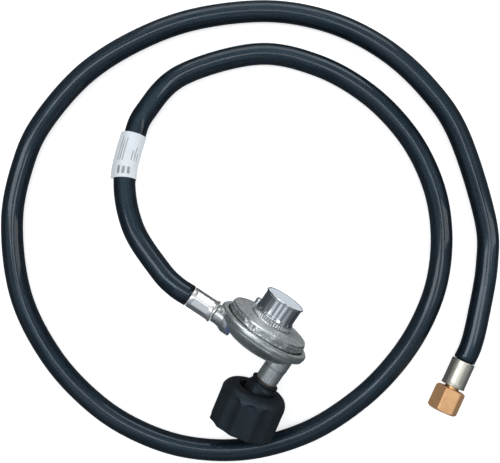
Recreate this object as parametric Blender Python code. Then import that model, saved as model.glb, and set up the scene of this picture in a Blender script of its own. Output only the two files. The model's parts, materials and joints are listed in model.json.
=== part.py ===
"""Low-pressure gas regulator on a rubber hose, lying on a flat surface.

The regulator has a bottle inlet with a black hand nut at one end of its axis and a chrome
closing cap at the other.  The hose leaves it sideways, makes about one and three quarter
turns on the surface, and ends in a brass swivel nut.

Sizes are in millimetres and degrees.  The mesh helpers turn them into Blender's metres.
The regulator's own frame has +Z along its axis towards the cap, +X towards the inlet and
+Y towards the surface it lies on.
"""
import math

import bmesh
import bpy
import numpy as np
from mathutils import Matrix, Vector

MM = 0.001
WELD = 1.0e-6            # metres, for points that should be one
GAP = 0.3                # between pieces that touch
RUNNING_GAP = 0.6        # between pieces that turn or slide on each other
ROUND_STEPS = 32         # facets round a large turned piece
SMALL_STEPS = 16         # facets round a small turned piece

# --- lower body ---------------------------------------------------------------------------
FLANGE_R = 32.8          # outer rim, which the regulator lies on
FLANGE_TOP = 1.0
FLANGE_T = 5.5
CAVITY_INSET = 4.2       # seat's width under the bonnet's wall
BOWL_DEPTH = 12.0
BOWL_FLOOR = 2.4
SEAT_DEPTH = 3.0         # from the rim's top down to the diaphragm's seat
RIM_WALL = 3.7           # rim outside the bonnet's recess

# --- inlet stem and bottle connection --------------------------------------------------------
INLET_INSET = 4.7        # stem's axis inside the cavity's wall
STEM_WALL = 1.6          # over the nipple's thread
STEM_END = 28.6          # stem's end below the flange plane
STEM_BOSS_STEP = 0.3
STEM_BOSS_END = 17.0
NIPPLE_STEP = 0.9        # body over its thread
NIPPLE_THREAD_R = 6.1
NIPPLE_THREAD_LENGTH = 10.5
NIPPLE_FLANGE_STEP = 1.9
NIPPLE_FLANGE_T = 1.5
PROBE_R = 6.2
PROBE_LENGTH = 7.6
PROBE_TIP_R = 4.8
PROBE_BORE_R = 3.6
PASSAGE_R = 1.7
CHECK_SEAT_BACK = 14.0   # check seat's distance inside the nipple's flange
BUSHING_WALL = 2.9
BUSHING_NECK_STEP = 1.0
BUSHING_LIP_STEP = 0.6
BUSHING_FLANGE_STEP = 4.4
BUSHING_FLANGE_T = 1.6
BUSHING_LENGTH = 22.7
WASHER_T = 0.5

# --- coupling nut --------------------------------------------------------------------------
NUT_WALL = 6.6           # over the grip's ridges
NUT_LENGTH = 30.0
NUT_SHOULDER_ROUND = 6.5 # from the ridges to the flat end face around the bushing
NUT_SHOULDER_H = 8.5
NUT_PLAY = 2.1           # loose on the bushing
NUT_WEB_T = 9.9
NUT_SOCKET_PLAY = 1.8    # around the bushing's flange
NUT_MOUTH_STEP = 1.4
NUT_MOUTH_DEPTH = 1.6
NUT_EDGE = 0.8
NUT_GRIPS = 12
NUT_GRIP_DEPTH = 1.1
NUT_STEPS_PER_GRIP = 4
NUT_SWING = 11.2         # the loose nut lies askew on the stem
NUT_PIVOT_BACK = 3.9     # from the bushing's flange to the point that the nut swings about

# --- bonnet, cap and adjusting screw -----------------------------------------------------------
BONNET_H = 7.9           # side wall above the diaphragm's rim
BONNET_CHAMFER = 0.8
BONNET_ROOF_T = 2.9
TOWER_COLLAR_STEP = 2.5
TOWER_COLLAR_TOP = 11.2
TOWER_R = 11.9
TOWER_TOP = 22.0
TOWER_WALL = 2.3
NOTCH_COUNT = 4
NOTCH_WIDTH = 3.2
NOTCH_DEPTH = 1.3
NOTCH_ANGLE = -21.0
VENT_AT = (-13.0, 15.0)
VENT_R = 2.6
VENT_TOP = 13.0
VENT_BORE_R = 1.2
CAP_PLAY = 0.4
CAP_WALL = 0.95
CAP_LIP_STEP = 0.75
CAP_LIP_T = 1.0
CAP_H = 14.3
CAP_TOP_T = 1.7
CAP_RECESS = 0.3
SCREW_T = 4.0
SCREW_TOP = 18.0
SCREW_SOCKET_AF = 6.0
SCREW_SOCKET_DEPTH = 2.4
BUTTON_PLAY = 1.0
BUTTON_T = 1.4

# --- diaphragm stack, spring and valve ----------------------------------------------------------
DIAPHRAGM_T = 0.8
CONVOLUTION_H = 1.6
PLATE_INSET = 7.5
PLATE_T = 0.8
PLATE_RIM_H = 0.8
POST_R = 2.0
POST_COLLAR_R = 4.6
POST_COLLAR_T = 0.8
POST_TOP = 3.4           # above the diaphragm plate
STACK_NUT_AF = 7.0
STACK_NUT_T = 2.0
SPRING_R = 7.2
SPRING_WIRE = 1.6
SPRING_TURNS = 4.5
PIN_INSET = 5.8          # lever's short arm
PIN_R = 1.0
LEVER_T = 0.9
LEVER_WIDTH = 6.0
LEVER_FORK = 4.8
LEVER_REACH = 4.0        # fork's end beyond the post's axis
LEVER_HUB_R = 1.7
BRACKET_T = 0.9
BRACKET_LENGTH = 5.0
HOLDER_R = 2.6
HOLDER_H = 1.3
SEAT_DISC_R = 2.2
SEAT_DISC_T = 0.9
SEAT_LIFT = 0.8          # open valve at rest
ORIFICE_R = 3.2
ORIFICE_NOSE_R = 1.9
ORIFICE_BORE_R = 1.1
ORIFICE_H = 3.3
ORIFICE_ROOT = 1.6       # screwed into the bowl's floor

# --- check valve in the nipple -------------------------------------------------------------------
POPPET_PLAY = 0.5
POPPET_HEAD_T = 1.2
POPPET_NOSE_R = 1.9
POPPET_NOSE_L = 5.4
POPPET_TAIL_R = 0.9
POPPET_TAIL_L = 5.0
POPPET_DROP = 6.0        # head's top below the seat
RETAINER_T = 1.4
CHECK_WIRE = 0.6
CHECK_TURNS = 4.0

# --- outlet, hose and its ferrules ---------------------------------------------------------------
OUTLET_Z = -8.6          # outlet's axis below the flange plane
NECK_R = 6.5
NECK_ROOT_STEP = 2.1
NECK_LENGTH = 9.7        # from the bowl's bottom corner
NECK_WALL = 1.9
HOSE_R = 7.5
HOSE_STEP = 34.0         # longest straight of the polyline
HOSE_SIDES_RESOLUTION = 3
FERRULE_LENGTH = 18.8
FERRULE_WALL = 0.75
FERRULE_END_T = 1.2
FERRULE_LIP = 0.6
FERRULE_LIP_T = 1.6
FERRULE_A_CRIMP = 0.2    # regulator end, pressed in from the hose's radius
FERRULE_B_CRIMP = -0.6   # fitting end, standing proud of the hose
CRIMP_SIDES = 8
CRIMP_MARGIN = 1.8
HOSE_WALL = 2.05         # squeezed between the barb and the regulator's ferrule
BARB_DEPTH = 0.6
BARB_PITCH = 3.4
BARB_WALL = 1.2
BARB_STUB = 8.4          # outlet barb inside the body's neck
LABEL_AT = 95.5          # from the ferrule, along the hose
LABEL_LENGTH = 34.0
LABEL_T = 0.3
LABEL_FLAP = 4.0
LABEL_INSET = 1.0

# --- swivel nut and its tail ----------------------------------------------------------------------
SWIVEL_LENGTH = 17.0
SWIVEL_WEB_T = 4.2
SWIVEL_WALL = 2.2
SWIVEL_MOUTH_STEP = 0.8
SWIVEL_CHAMFER = 1.3
SWIVEL_STANDOFF = 1.85   # from the ferrule to the nut
TAIL_NECK_STEP = 1.4     # over the barb's root
TAIL_PLAY = 0.7          # shoulder inside the swivel nut's socket
TAIL_SHOULDER_T = 1.7
TAIL_CONE_T = 3.0
TAIL_TIP_WALL = 1.2

# --- radii and places that follow from the sizes above -----------------------------------------------
BONNET_R = FLANGE_R - RIM_WALL - 0.4
CAVITY_R = BONNET_R - CAVITY_INSET
BOWL_R = CAVITY_R        # bottom corner of the bowl
PLATE_R = CAVITY_R - PLATE_INSET
INLET_X = CAVITY_R - INLET_INSET
PIN_X = INLET_X - PIN_INSET
STEM_R = NIPPLE_THREAD_R + STEM_WALL
STEM_BOSS_R = STEM_R + STEM_BOSS_STEP
NIPPLE_R = NIPPLE_THREAD_R + NIPPLE_STEP
NIPPLE_FLANGE_R = NIPPLE_R + NIPPLE_FLANGE_STEP
BUSHING_BORE_R = NIPPLE_R + GAP
BUSHING_R = BUSHING_BORE_R + BUSHING_WALL
BUSHING_NECK_R = BUSHING_R - BUSHING_NECK_STEP
BUSHING_LIP_R = BUSHING_R - BUSHING_LIP_STEP
BUSHING_FLANGE_R = BUSHING_R + BUSHING_FLANGE_STEP
NUT_BORE_R = BUSHING_R + NUT_PLAY
NUT_SOCKET_R = BUSHING_FLANGE_R + NUT_SOCKET_PLAY
NUT_MOUTH_R = NUT_SOCKET_R + NUT_MOUTH_STEP
NUT_R = NUT_SOCKET_R + NUT_WALL
NUT_SHOULDER_R = NUT_R - NUT_SHOULDER_ROUND
TOWER_BORE_R = TOWER_R - TOWER_WALL
TOWER_COLLAR_R = TOWER_R + TOWER_COLLAR_STEP
CAP_BORE_R = TOWER_R + CAP_PLAY
CAP_R = CAP_BORE_R + CAP_WALL
CAP_LIP_R = CAP_R + CAP_LIP_STEP
BUTTON_R = TOWER_BORE_R - BUTTON_PLAY
POPPET_HEAD_R = PROBE_BORE_R - POPPET_PLAY
CHECK_SPRING_R = PROBE_BORE_R - CHECK_WIRE / 2 - 0.55
FERRULE_A_R = HOSE_R - FERRULE_A_CRIMP
FERRULE_B_R = HOSE_R - FERRULE_B_CRIMP
BARB_R = FERRULE_A_R - FERRULE_WALL - HOSE_WALL - GAP
BARB_ROOT_R = BARB_R - BARB_DEPTH
BARB_BORE_R = BARB_ROOT_R - BARB_WALL
TAIL_NECK_R = BARB_ROOT_R + TAIL_NECK_STEP
NECK_END = BOWL_R + NECK_LENGTH
NECK_BORE_R = NECK_R - NECK_WALL
NECK_ROOT_R = NECK_R + NECK_ROOT_STEP
TAIL_CONE_TIP_R = BARB_BORE_R + TAIL_TIP_WALL
TAIL_SHOULDER_R = TAIL_CONE_TIP_R + TAIL_CONE_T
SWIVEL_SOCKET_R = TAIL_SHOULDER_R + TAIL_PLAY
SWIVEL_MOUTH_R = SWIVEL_SOCKET_R + SWIVEL_MOUTH_STEP
SWIVEL_AF = 2 * (SWIVEL_SOCKET_R + SWIVEL_WALL)

# --- where the pieces lie --------------------------------------------------------------------------
REGULATOR_AT = (3.9, 21.4)
HOSE_STRAIGHT = 12.0     # straight stretch at each ferrule
FITTING_LIFT = SWIVEL_AF / 2 - HOSE_R
ROUTE = [                # centre of the hose, with its height over a hose that lies flat
    (-76.6, 16.1, 21.5), (-107.1, 28.9, 16.0), (-130.6, 51.8, 9.7), (-142.5, 80.5, 4.3),
    (-146.3, 100.0, 1.9), (-140.0, 134.5, 0.0), (-104.8, 175.6, 0.0), (-65.9, 192.3, 0.0),
    (-25.0, 195.4, 0.0), (13.9, 186.8, 0.0), (46.2, 168.7, 0.0), (69.8, 144.3, 0.0),
    (86.4, 113.8, 0.0), (93.7, 81.3, 0.0), (93.4, 47.9, 0.0), (86.0, 13.9, 0.0),
    (69.5, -22.5, 0.0), (42.3, -54.5, 0.0), (8.3, -76.3, 0.0), (-27.2, -86.6, 0.0),
    (-64.5, -87.5, 0.0), (-106.9, -77.2, 0.0), (-148.5, -53.3, 0.0), (-181.9, -13.9, 0.0),
    (-197.9, 25.3, 0.0), (-201.9, 57.2, 0.0), (-195.6, 100.5, 0.0), (-177.2, 140.6, 0.0),
    (-151.3, 174.6, 0.0), (-113.1, 205.7, 0.0), (-73.4, 222.6, 0.0), (-33.0, 227.6, 0.0),
    (6.2, 221.9, 0.0), (42.8, 206.7, 0.0), (90.0, 168.5, 0.0), (109.0, 142.0, 0.2),
    (123.5, 108.6, 1.3),
    (130.0, 89.9, FITTING_LIFT), (131.9, 78.0, FITTING_LIFT),
]

# --- finishes: colour, roughness, metallic -----------------------------------------------------------
FINISHES = {
    "cast_zinc": ((0.32, 0.34, 0.33), 0.42, 0.9),
    "chrome": ((0.62, 0.64, 0.65), 0.08, 1.0),
    "brass": ((0.62, 0.42, 0.20), 0.28, 1.0),
    "steel": ((0.45, 0.46, 0.47), 0.3, 1.0),
    "spring_steel": ((0.30, 0.31, 0.33), 0.35, 1.0),
    "black_plastic": ((0.016, 0.018, 0.021), 0.5, 0.0),
    "hose_rubber": ((0.010, 0.013, 0.018), 0.32, 0.0),
    "moving_rubber": ((0.03, 0.03, 0.03), 0.7, 0.0),
    "label_film": ((0.75, 0.77, 0.78), 0.35, 0.0),
}

# --- levels along each axis that follow from the sizes above --------------------------------------
SEAT_Z = FLANGE_TOP - SEAT_DEPTH
DIAPHRAGM_Z = SEAT_Z + GAP
BONNET_Z = DIAPHRAGM_Z + DIAPHRAGM_T + GAP
BONNET_TOP = BONNET_Z + BONNET_H
PLATE_Z = DIAPHRAGM_Z + DIAPHRAGM_T + GAP
COLLAR_TOP = DIAPHRAGM_Z - GAP
CAVITY_Z = -(BOWL_DEPTH - BOWL_FLOOR)
STEM_Z = -STEM_END
BUSHING_TOP = STEM_Z - GAP
BUSHING_FLANGE_Z = BUSHING_TOP - (BUSHING_LENGTH - BUSHING_FLANGE_T)
BUSHING_END = BUSHING_TOP - BUSHING_LENGTH
NUT_PIVOT_Z = BUSHING_FLANGE_Z + NUT_PIVOT_BACK
WEB_Z = 0.0              # the web's inner face, in the nut's own frame
NUT_TOP = WEB_Z + NUT_WEB_T
NUT_END = NUT_TOP - NUT_LENGTH
NIPPLE_FLANGE_TOP = BUSHING_END - GAP
NIPPLE_FLANGE_Z = NIPPLE_FLANGE_TOP - NIPPLE_FLANGE_T
PROBE_END = NIPPLE_FLANGE_Z - PROBE_LENGTH
NIPPLE_TOP = STEM_Z + NIPPLE_THREAD_LENGTH
CHECK_SEAT_Z = NIPPLE_FLANGE_Z + CHECK_SEAT_BACK
POPPET_Z = CHECK_SEAT_Z - POPPET_DROP
ORIFICE_Z = CAVITY_Z - ORIFICE_ROOT
ORIFICE_TOP = ORIFICE_Z + ORIFICE_H
SEAT_DISC_Z = ORIFICE_TOP + SEAT_LIFT
HOLDER_Z = SEAT_DISC_Z + SEAT_DISC_T + GAP
LEVER_Z = HOLDER_Z + HOLDER_H + GAP
PIN_Z = LEVER_Z + LEVER_T / 2
LOWER_COLLAR_TOP = LEVER_Z - RUNNING_GAP
CAP_Z = TOWER_COLLAR_TOP + GAP
CAP_TOP = CAP_Z + CAP_H
BUTTON_TOP = SCREW_TOP - SCREW_T - GAP
BUTTON_Z = BUTTON_TOP - BUTTON_T
FERRULE_START = NECK_END + GAP
FERRULE_FACE = FERRULE_START + FERRULE_LENGTH
HOSE_START = FERRULE_FACE + GAP
SWIVEL_Z = GAP + FERRULE_LENGTH + SWIVEL_STANDOFF
SWIVEL_SOCKET_Z = SWIVEL_Z + SWIVEL_WEB_T
RIM_Z = FLANGE_TOP - FLANGE_T / 2

materials = {}


# --- helpers ---------------------------------------------------------------------------------------
def grip_scoop(angle):
    """How far the grip between two ridges is pulled in at this angle from a ridge."""
    return NUT_GRIP_DEPTH * math.sin(NUT_GRIPS / 2 * angle) ** 2


def nut_rest_radius():
    """Height of the nut's axis over the surface when it rests on two ridges."""
    step = 2 * math.pi / (NUT_GRIPS * NUT_STEPS_PER_GRIP)
    spread = math.pi / NUT_GRIPS
    turns = [i * step for i in range(NUT_STEPS_PER_GRIP + 1)]
    return max((NUT_R - grip_scoop(turn)) * math.cos(turn - spread) for turn in turns)


def material(finish):
    """The Principled material of one finish, made once."""
    if finish not in materials:
        colour, roughness, metallic = FINISHES[finish]
        made = bpy.data.materials.new(finish)
        made.use_nodes = True
        shader = made.node_tree.nodes["Principled BSDF"]
        shader.inputs["Base Color"].default_value = (*colour, 1.0)
        shader.inputs["Roughness"].default_value = roughness
        shader.inputs["Metallic"].default_value = metallic
        made.diffuse_color = (*colour, 1.0)
        materials[finish] = made
    return materials[finish]


def frame(name, parent=None, at=(0.0, 0.0, 0.0), turn=None):
    """An empty that holds the pieces on one axis; at is in millimetres in its parent."""
    empty = bpy.data.objects.new(name, None)
    bpy.context.collection.objects.link(empty)
    empty.parent = parent
    placed = Matrix.Translation(Vector(at) * MM)
    empty.matrix_local = placed @ (turn or Matrix.Identity(4))
    return empty


def piece(name, data, finish, parent, at=(0.0, 0.0, 0.0), turn=None):
    """An object that carries one mesh or curve, placed in its parent's frame."""
    made = bpy.data.objects.new(name, data)
    bpy.context.collection.objects.link(made)
    made.parent = parent
    made.matrix_local = Matrix.Translation(Vector(at) * MM) @ (turn or Matrix.Identity(4))
    if finish:
        data.materials.clear()
        data.materials.append(material(finish))
    return made


def tool(name, mesh, parent, at=(0.0, 0.0, 0.0), turn=None):
    """A hidden shape that a Boolean modifier adds or cuts."""
    made = piece(name, mesh, None, parent, at, turn)
    made.hide_render = True
    made.display_type = 'WIRE'
    return made


def boolean(target, operand, operation):
    """Join, cut or trim the target by a hidden shape."""
    modifier = target.modifiers.new(operand.name, 'BOOLEAN')
    modifier.operation = operation
    modifier.object = operand
    modifier.solver = 'EXACT'


def mesh_from(bm, name, smooth_angle=35.0):
    """Close a bmesh into a mesh with outward faces, smooth where it is round."""
    bmesh.ops.remove_doubles(bm, verts=bm.verts, dist=WELD)
    bmesh.ops.recalc_face_normals(bm, faces=bm.faces)
    mesh = bpy.data.meshes.new(name)
    bm.to_mesh(mesh)
    bm.free()
    mesh.shade_smooth()
    mesh.set_sharp_from_angle(angle=math.radians(smooth_angle))
    return mesh


def turned(name, outline, steps=ROUND_STEPS):
    """A (radius, height) outline turned about Z; an outline that misses the axis is a ring."""
    bm = bmesh.new()
    points = [bm.verts.new((r * MM, 0.0, z * MM)) for r, z in outline]
    pairs = list(zip(points, points[1:]))
    if min(r for r, _ in outline) > 0.0:
        pairs.append((points[-1], points[0]))
    edges = [bm.edges.new(pair) for pair in pairs]
    bmesh.ops.spin(bm, geom=points + edges, cent=(0, 0, 0), axis=(0, 0, 1),
                   angle=2 * math.pi, steps=steps)
    return mesh_from(bm, name)


def extruded(name, outline, depth):
    """A closed (x, y) outline extruded along +Z."""
    bm = bmesh.new()
    face = bm.faces.new([bm.verts.new((x * MM, y * MM, 0.0)) for x, y in outline])
    grown = bmesh.ops.extrude_face_region(bm, geom=[face])
    top = [item for item in grown["geom"] if isinstance(item, bmesh.types.BMVert)]
    bmesh.ops.translate(bm, verts=top, vec=(0, 0, depth * MM))
    return mesh_from(bm, name)


def regular_outline(across_flats, sides):
    """The corners of a regular polygon of this size across its flats."""
    corner = across_flats / 2 / math.cos(math.pi / sides)
    step = 2 * math.pi / sides
    return [(corner * math.cos(i * step), corner * math.sin(i * step)) for i in range(sides)]


def box_outline(width, height):
    """A centred rectangle."""
    return [(-width / 2, -height / 2), (width / 2, -height / 2),
            (width / 2, height / 2), (-width / 2, height / 2)]


def reshape(mesh, radius_at):
    """Move each point of a turned mesh to the radius that radius_at(r, angle, z) gives."""
    for vertex in mesh.vertices:
        x, y, z = (value / MM for value in vertex.co)
        radius, angle = math.hypot(x, y), math.atan2(y, x)
        new_radius = radius_at(radius, angle, z)
        vertex.co = (new_radius * math.cos(angle) * MM, new_radius * math.sin(angle) * MM,
                     z * MM)


def coil(name, radius, wire, turns, bottom, top, finish, parent, steps_per_turn, resolution):
    """A coil spring between two faces, as a bevelled polyline about the parent's Z."""
    low, high = bottom + wire / 2, top - wire / 2
    count = int(turns * steps_per_turn)
    curve = bpy.data.curves.new(name, 'CURVE')
    curve.dimensions = '3D'
    curve.bevel_depth = wire / 2 * MM
    curve.bevel_resolution = resolution
    curve.use_fill_caps = True
    spline = curve.splines.new('POLY')
    spline.points.add(count)
    for i, point in enumerate(spline.points):
        angle = 2 * math.pi * turns * i / count
        height = low + (high - low) * i / count
        point.co = (radius * math.cos(angle) * MM, radius * math.sin(angle) * MM,
                    height * MM, 1.0)
    return piece(name, curve, finish, parent)


def smooth_route(points):
    """A Catmull-Rom curve through the given points, as fine points and their run along it."""
    through = np.array([2 * np.array(points[0]) - np.array(points[1]), *points,
                        2 * np.array(points[-1]) - np.array(points[-2])])
    fine = []
    for a, b, c, d in zip(through, through[1:], through[2:], through[3:]):
        for t in np.arange(0.0, 1.0, 0.05):
            fine.append(0.5 * (2 * b + (c - a) * t + (2 * a - 5 * b + 4 * c - d) * t ** 2
                               + (3 * b - a - 3 * c + d) * t ** 3))
    fine = np.array([*fine, through[-2]])
    fine[:, 2] = np.maximum(fine[:, 2], HOSE_R)
    run = np.concatenate([[0.0], np.cumsum(np.linalg.norm(np.diff(fine, axis=0), axis=1))])
    return fine, run


def hose_points(points):
    """The hose's polyline, with the label's stretch straight, and the places of its ends."""
    fine, run = smooth_route(points)
    marks = [0.0, HOSE_STRAIGHT, LABEL_AT, LABEL_AT + LABEL_LENGTH, run[-1] - HOSE_STRAIGHT, run[-1]]
    stations = [run[-1]]
    for low, high in zip(marks[-2::-1], marks[:0:-1]):
        parts = math.ceil((high - low) / HOSE_STEP)
        stations = [low + (high - low) * i / parts for i in range(parts)] + stations
    places = np.stack([np.interp(stations, run, fine[:, axis]) for axis in range(3)], axis=1)
    first = stations.index(LABEL_AT)
    return places, places[first], places[first + 1]


# --- regulator body -----------------------------------------------------------------------------------
def make_lower_body(axis, inlet, outlet):
    """Die-cast bowl with its rim, inlet stem and outlet neck."""
    under = FLANGE_TOP - FLANGE_T
    edge = FLANGE_T * 0.22
    bowl = turned("lower_body", [
        (0.0, FLANGE_TOP), (FLANGE_R - edge, FLANGE_TOP), (FLANGE_R - edge * 0.3, FLANGE_TOP - edge * 0.5),
        (FLANGE_R, FLANGE_TOP - FLANGE_T * 0.35), (FLANGE_R, RIM_Z),
        (FLANGE_R - edge * 0.5, under + edge * 0.5), (FLANGE_R - edge * 1.8, under),
        (BOWL_R + 2.2, -BOWL_DEPTH * 0.62), (BOWL_R, -BOWL_DEPTH * 0.82),
        (BOWL_R - 3.4, -BOWL_DEPTH), (0.0, -BOWL_DEPTH)])
    body = piece("lower_body", bowl, "cast_zinc", axis)
    stem_top = -BOWL_DEPTH / 2
    stem = turned("stem", [
        (0.0, stem_top), (STEM_BOSS_R, stem_top), (STEM_BOSS_R, -STEM_BOSS_END + 0.6),
        (STEM_R + 0.3, -STEM_BOSS_END), (STEM_R, -STEM_BOSS_END - 0.8), (STEM_R, STEM_Z + 0.6),
        (STEM_R - 0.6, STEM_Z), (0.0, STEM_Z)], SMALL_STEPS * 4 // 3)
    neck_root = BOWL_R - 6.0
    neck = turned("neck", [
        (0.0, NECK_END), (NECK_R - 0.5, NECK_END), (NECK_R, NECK_END - 0.5), (NECK_R, NECK_END - 4.0),
        (NECK_R + 0.5, NECK_END - 6.5), (NECK_ROOT_R, NECK_END - 9.5),
        (NECK_ROOT_R, neck_root), (0.0, neck_root)], SMALL_STEPS)
    cavity = turned("cavity", [
        (0.0, FLANGE_TOP + 1.0), (FLANGE_R - RIM_WALL, FLANGE_TOP + 1.0), (FLANGE_R - RIM_WALL, SEAT_Z),
        (CAVITY_R, SEAT_Z), (CAVITY_R, CAVITY_Z + 3.0), (CAVITY_R - 3.0, CAVITY_Z), (0.0, CAVITY_Z)])
    outlet_bore = turned("outlet_bore", [
        (0.0, NECK_END + 1.0), (NECK_BORE_R, NECK_END + 1.0), (NECK_BORE_R, NECK_END - BARB_STUB - 0.6),
        (BARB_BORE_R, NECK_END - BARB_STUB - 0.6), (BARB_BORE_R, neck_root - 4.0),
        (0.0, neck_root - 4.0)], SMALL_STEPS)
    thread_r = NIPPLE_THREAD_R + GAP
    inlet_bore = turned("inlet_bore", [
        (0.0, CAVITY_Z + 1.0), (ORIFICE_R + GAP, CAVITY_Z + 1.0), (ORIFICE_R + GAP, ORIFICE_Z - GAP),
        (PASSAGE_R, ORIFICE_Z - GAP), (PASSAGE_R, NIPPLE_TOP + GAP), (thread_r, NIPPLE_TOP + GAP),
        (thread_r, STEM_Z - 1.0), (0.0, STEM_Z - 1.0)], SMALL_STEPS)
    boolean(body, tool("stem_shape", stem, inlet), 'UNION')
    boolean(body, tool("neck_shape", neck, outlet), 'UNION')
    boolean(body, tool("cavity_cut", cavity, axis), 'DIFFERENCE')
    boolean(body, tool("outlet_cut", outlet_bore, outlet), 'DIFFERENCE')
    boolean(body, tool("inlet_cut", inlet_bore, inlet), 'DIFFERENCE')


def make_bonnet(axis):
    """Upper casting: flat roof, spring tower, vent boss and staking notches."""
    roof_under = BONNET_TOP - BONNET_ROOF_T + 0.8
    bonnet = piece("bonnet", turned("bonnet", [
        (TOWER_BORE_R, TOWER_TOP), (TOWER_BORE_R, roof_under + 0.6), (CAVITY_R - 1.0, roof_under),
        (CAVITY_R, roof_under - 1.0), (CAVITY_R, BONNET_Z), (BONNET_R, BONNET_Z),
        (BONNET_R, BONNET_TOP - BONNET_CHAMFER), (BONNET_R - BONNET_CHAMFER, BONNET_TOP),
        (TOWER_COLLAR_R + 0.5, BONNET_TOP + 0.9), (TOWER_COLLAR_R, BONNET_TOP + 1.6),
        (TOWER_COLLAR_R, TOWER_COLLAR_TOP - 0.4), (TOWER_COLLAR_R - 0.4, TOWER_COLLAR_TOP),
        (TOWER_R, TOWER_COLLAR_TOP), (TOWER_R, TOWER_TOP)]), "cast_zinc", axis)
    vent_at = (*VENT_AT, 0.0)
    boss = turned("vent_boss", [
        (0.0, VENT_TOP), (VENT_R - 0.4, VENT_TOP), (VENT_R, VENT_TOP - 0.4), (VENT_R, BONNET_TOP - 1.0),
        (0.0, BONNET_TOP - 1.0)], SMALL_STEPS)
    bore = turned("vent_bore", [
        (0.0, VENT_TOP + 1.0), (VENT_R - 0.8, VENT_TOP + 1.0), (VENT_R - 0.8, VENT_TOP - 1.2),
        (VENT_BORE_R, VENT_TOP - 1.2), (VENT_BORE_R, BONNET_Z - 1.0), (0.0, BONNET_Z - 1.0)], SMALL_STEPS)
    boolean(bonnet, tool("vent_boss_shape", boss, axis, vent_at), 'UNION')
    boolean(bonnet, tool("vent_cut", bore, axis, vent_at), 'DIFFERENCE')
    notch = extruded("notch", box_outline(2 * NOTCH_DEPTH, NOTCH_WIDTH), BONNET_H + 2.0)
    for i in range(NOTCH_COUNT):
        turn = Matrix.Rotation(math.radians(NOTCH_ANGLE + i * 360.0 / NOTCH_COUNT), 4, 'Z')
        place = turn @ Vector((BONNET_R, 0.0, BONNET_Z + 1.4))
        boolean(bonnet, tool(f"notch_cut_{i}", notch, axis, place, turn), 'DIFFERENCE')
    screen_r = VENT_R - 0.8 - GAP
    piece("vent_screen", turned("vent_screen", [
        (VENT_BORE_R / 2, VENT_TOP - 0.2), (VENT_BORE_R / 2, VENT_TOP - 0.9), (screen_r, VENT_TOP - 0.9),
        (screen_r, VENT_TOP - 0.2)], SMALL_STEPS), "steel", axis, vent_at)


def make_cap(axis):
    """Chrome closing cap that pulls off the spring tower."""
    lip = CAP_TOP - CAP_LIP_T
    piece("closing_cap", turned("closing_cap", [
        (0.0, CAP_TOP - CAP_RECESS), (CAP_R - 0.4, CAP_TOP - CAP_RECESS), (CAP_R, CAP_TOP),
        (CAP_LIP_R - 0.2, CAP_TOP), (CAP_LIP_R, CAP_TOP - 0.25), (CAP_LIP_R, lip),
        (CAP_R, lip - 0.7), (CAP_R, CAP_Z + 2.2), (CAP_LIP_R, CAP_Z + 0.8), (CAP_LIP_R, CAP_Z),
        (CAP_BORE_R, CAP_Z), (CAP_BORE_R, CAP_TOP - CAP_TOP_T - CAP_RECESS),
        (0.0, CAP_TOP - CAP_TOP_T - CAP_RECESS)]), "chrome", axis)


def make_adjuster(axis):
    """Adjusting screw in the tower, and the button that it presses the spring with."""
    screw_r = TOWER_BORE_R - GAP
    bottom = SCREW_TOP - SCREW_T
    screw = piece("adjusting_screw", turned("adjusting_screw", [
        (0.0, SCREW_TOP), (screw_r - 0.5, SCREW_TOP), (screw_r, SCREW_TOP - 0.5), (screw_r, bottom + 0.5),
        (screw_r - 0.5, bottom), (0.0, bottom)], SMALL_STEPS), "brass", axis)
    socket = extruded("screw_socket", regular_outline(SCREW_SOCKET_AF, 6), SCREW_SOCKET_DEPTH + 1.0)
    boolean(screw, tool("screw_socket_cut", socket, axis, (0, 0, SCREW_TOP - SCREW_SOCKET_DEPTH)),
            'DIFFERENCE')
    pilot = SPRING_R - SPRING_WIRE / 2 - 0.8
    piece("spring_button", turned("spring_button", [
        (0.0, BUTTON_TOP), (BUTTON_R, BUTTON_TOP), (BUTTON_R, BUTTON_Z), (pilot, BUTTON_Z),
        (pilot - 0.5, BUTTON_Z - 1.2), (0.0, BUTTON_Z - 1.2)], SMALL_STEPS), "steel", axis)


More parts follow.
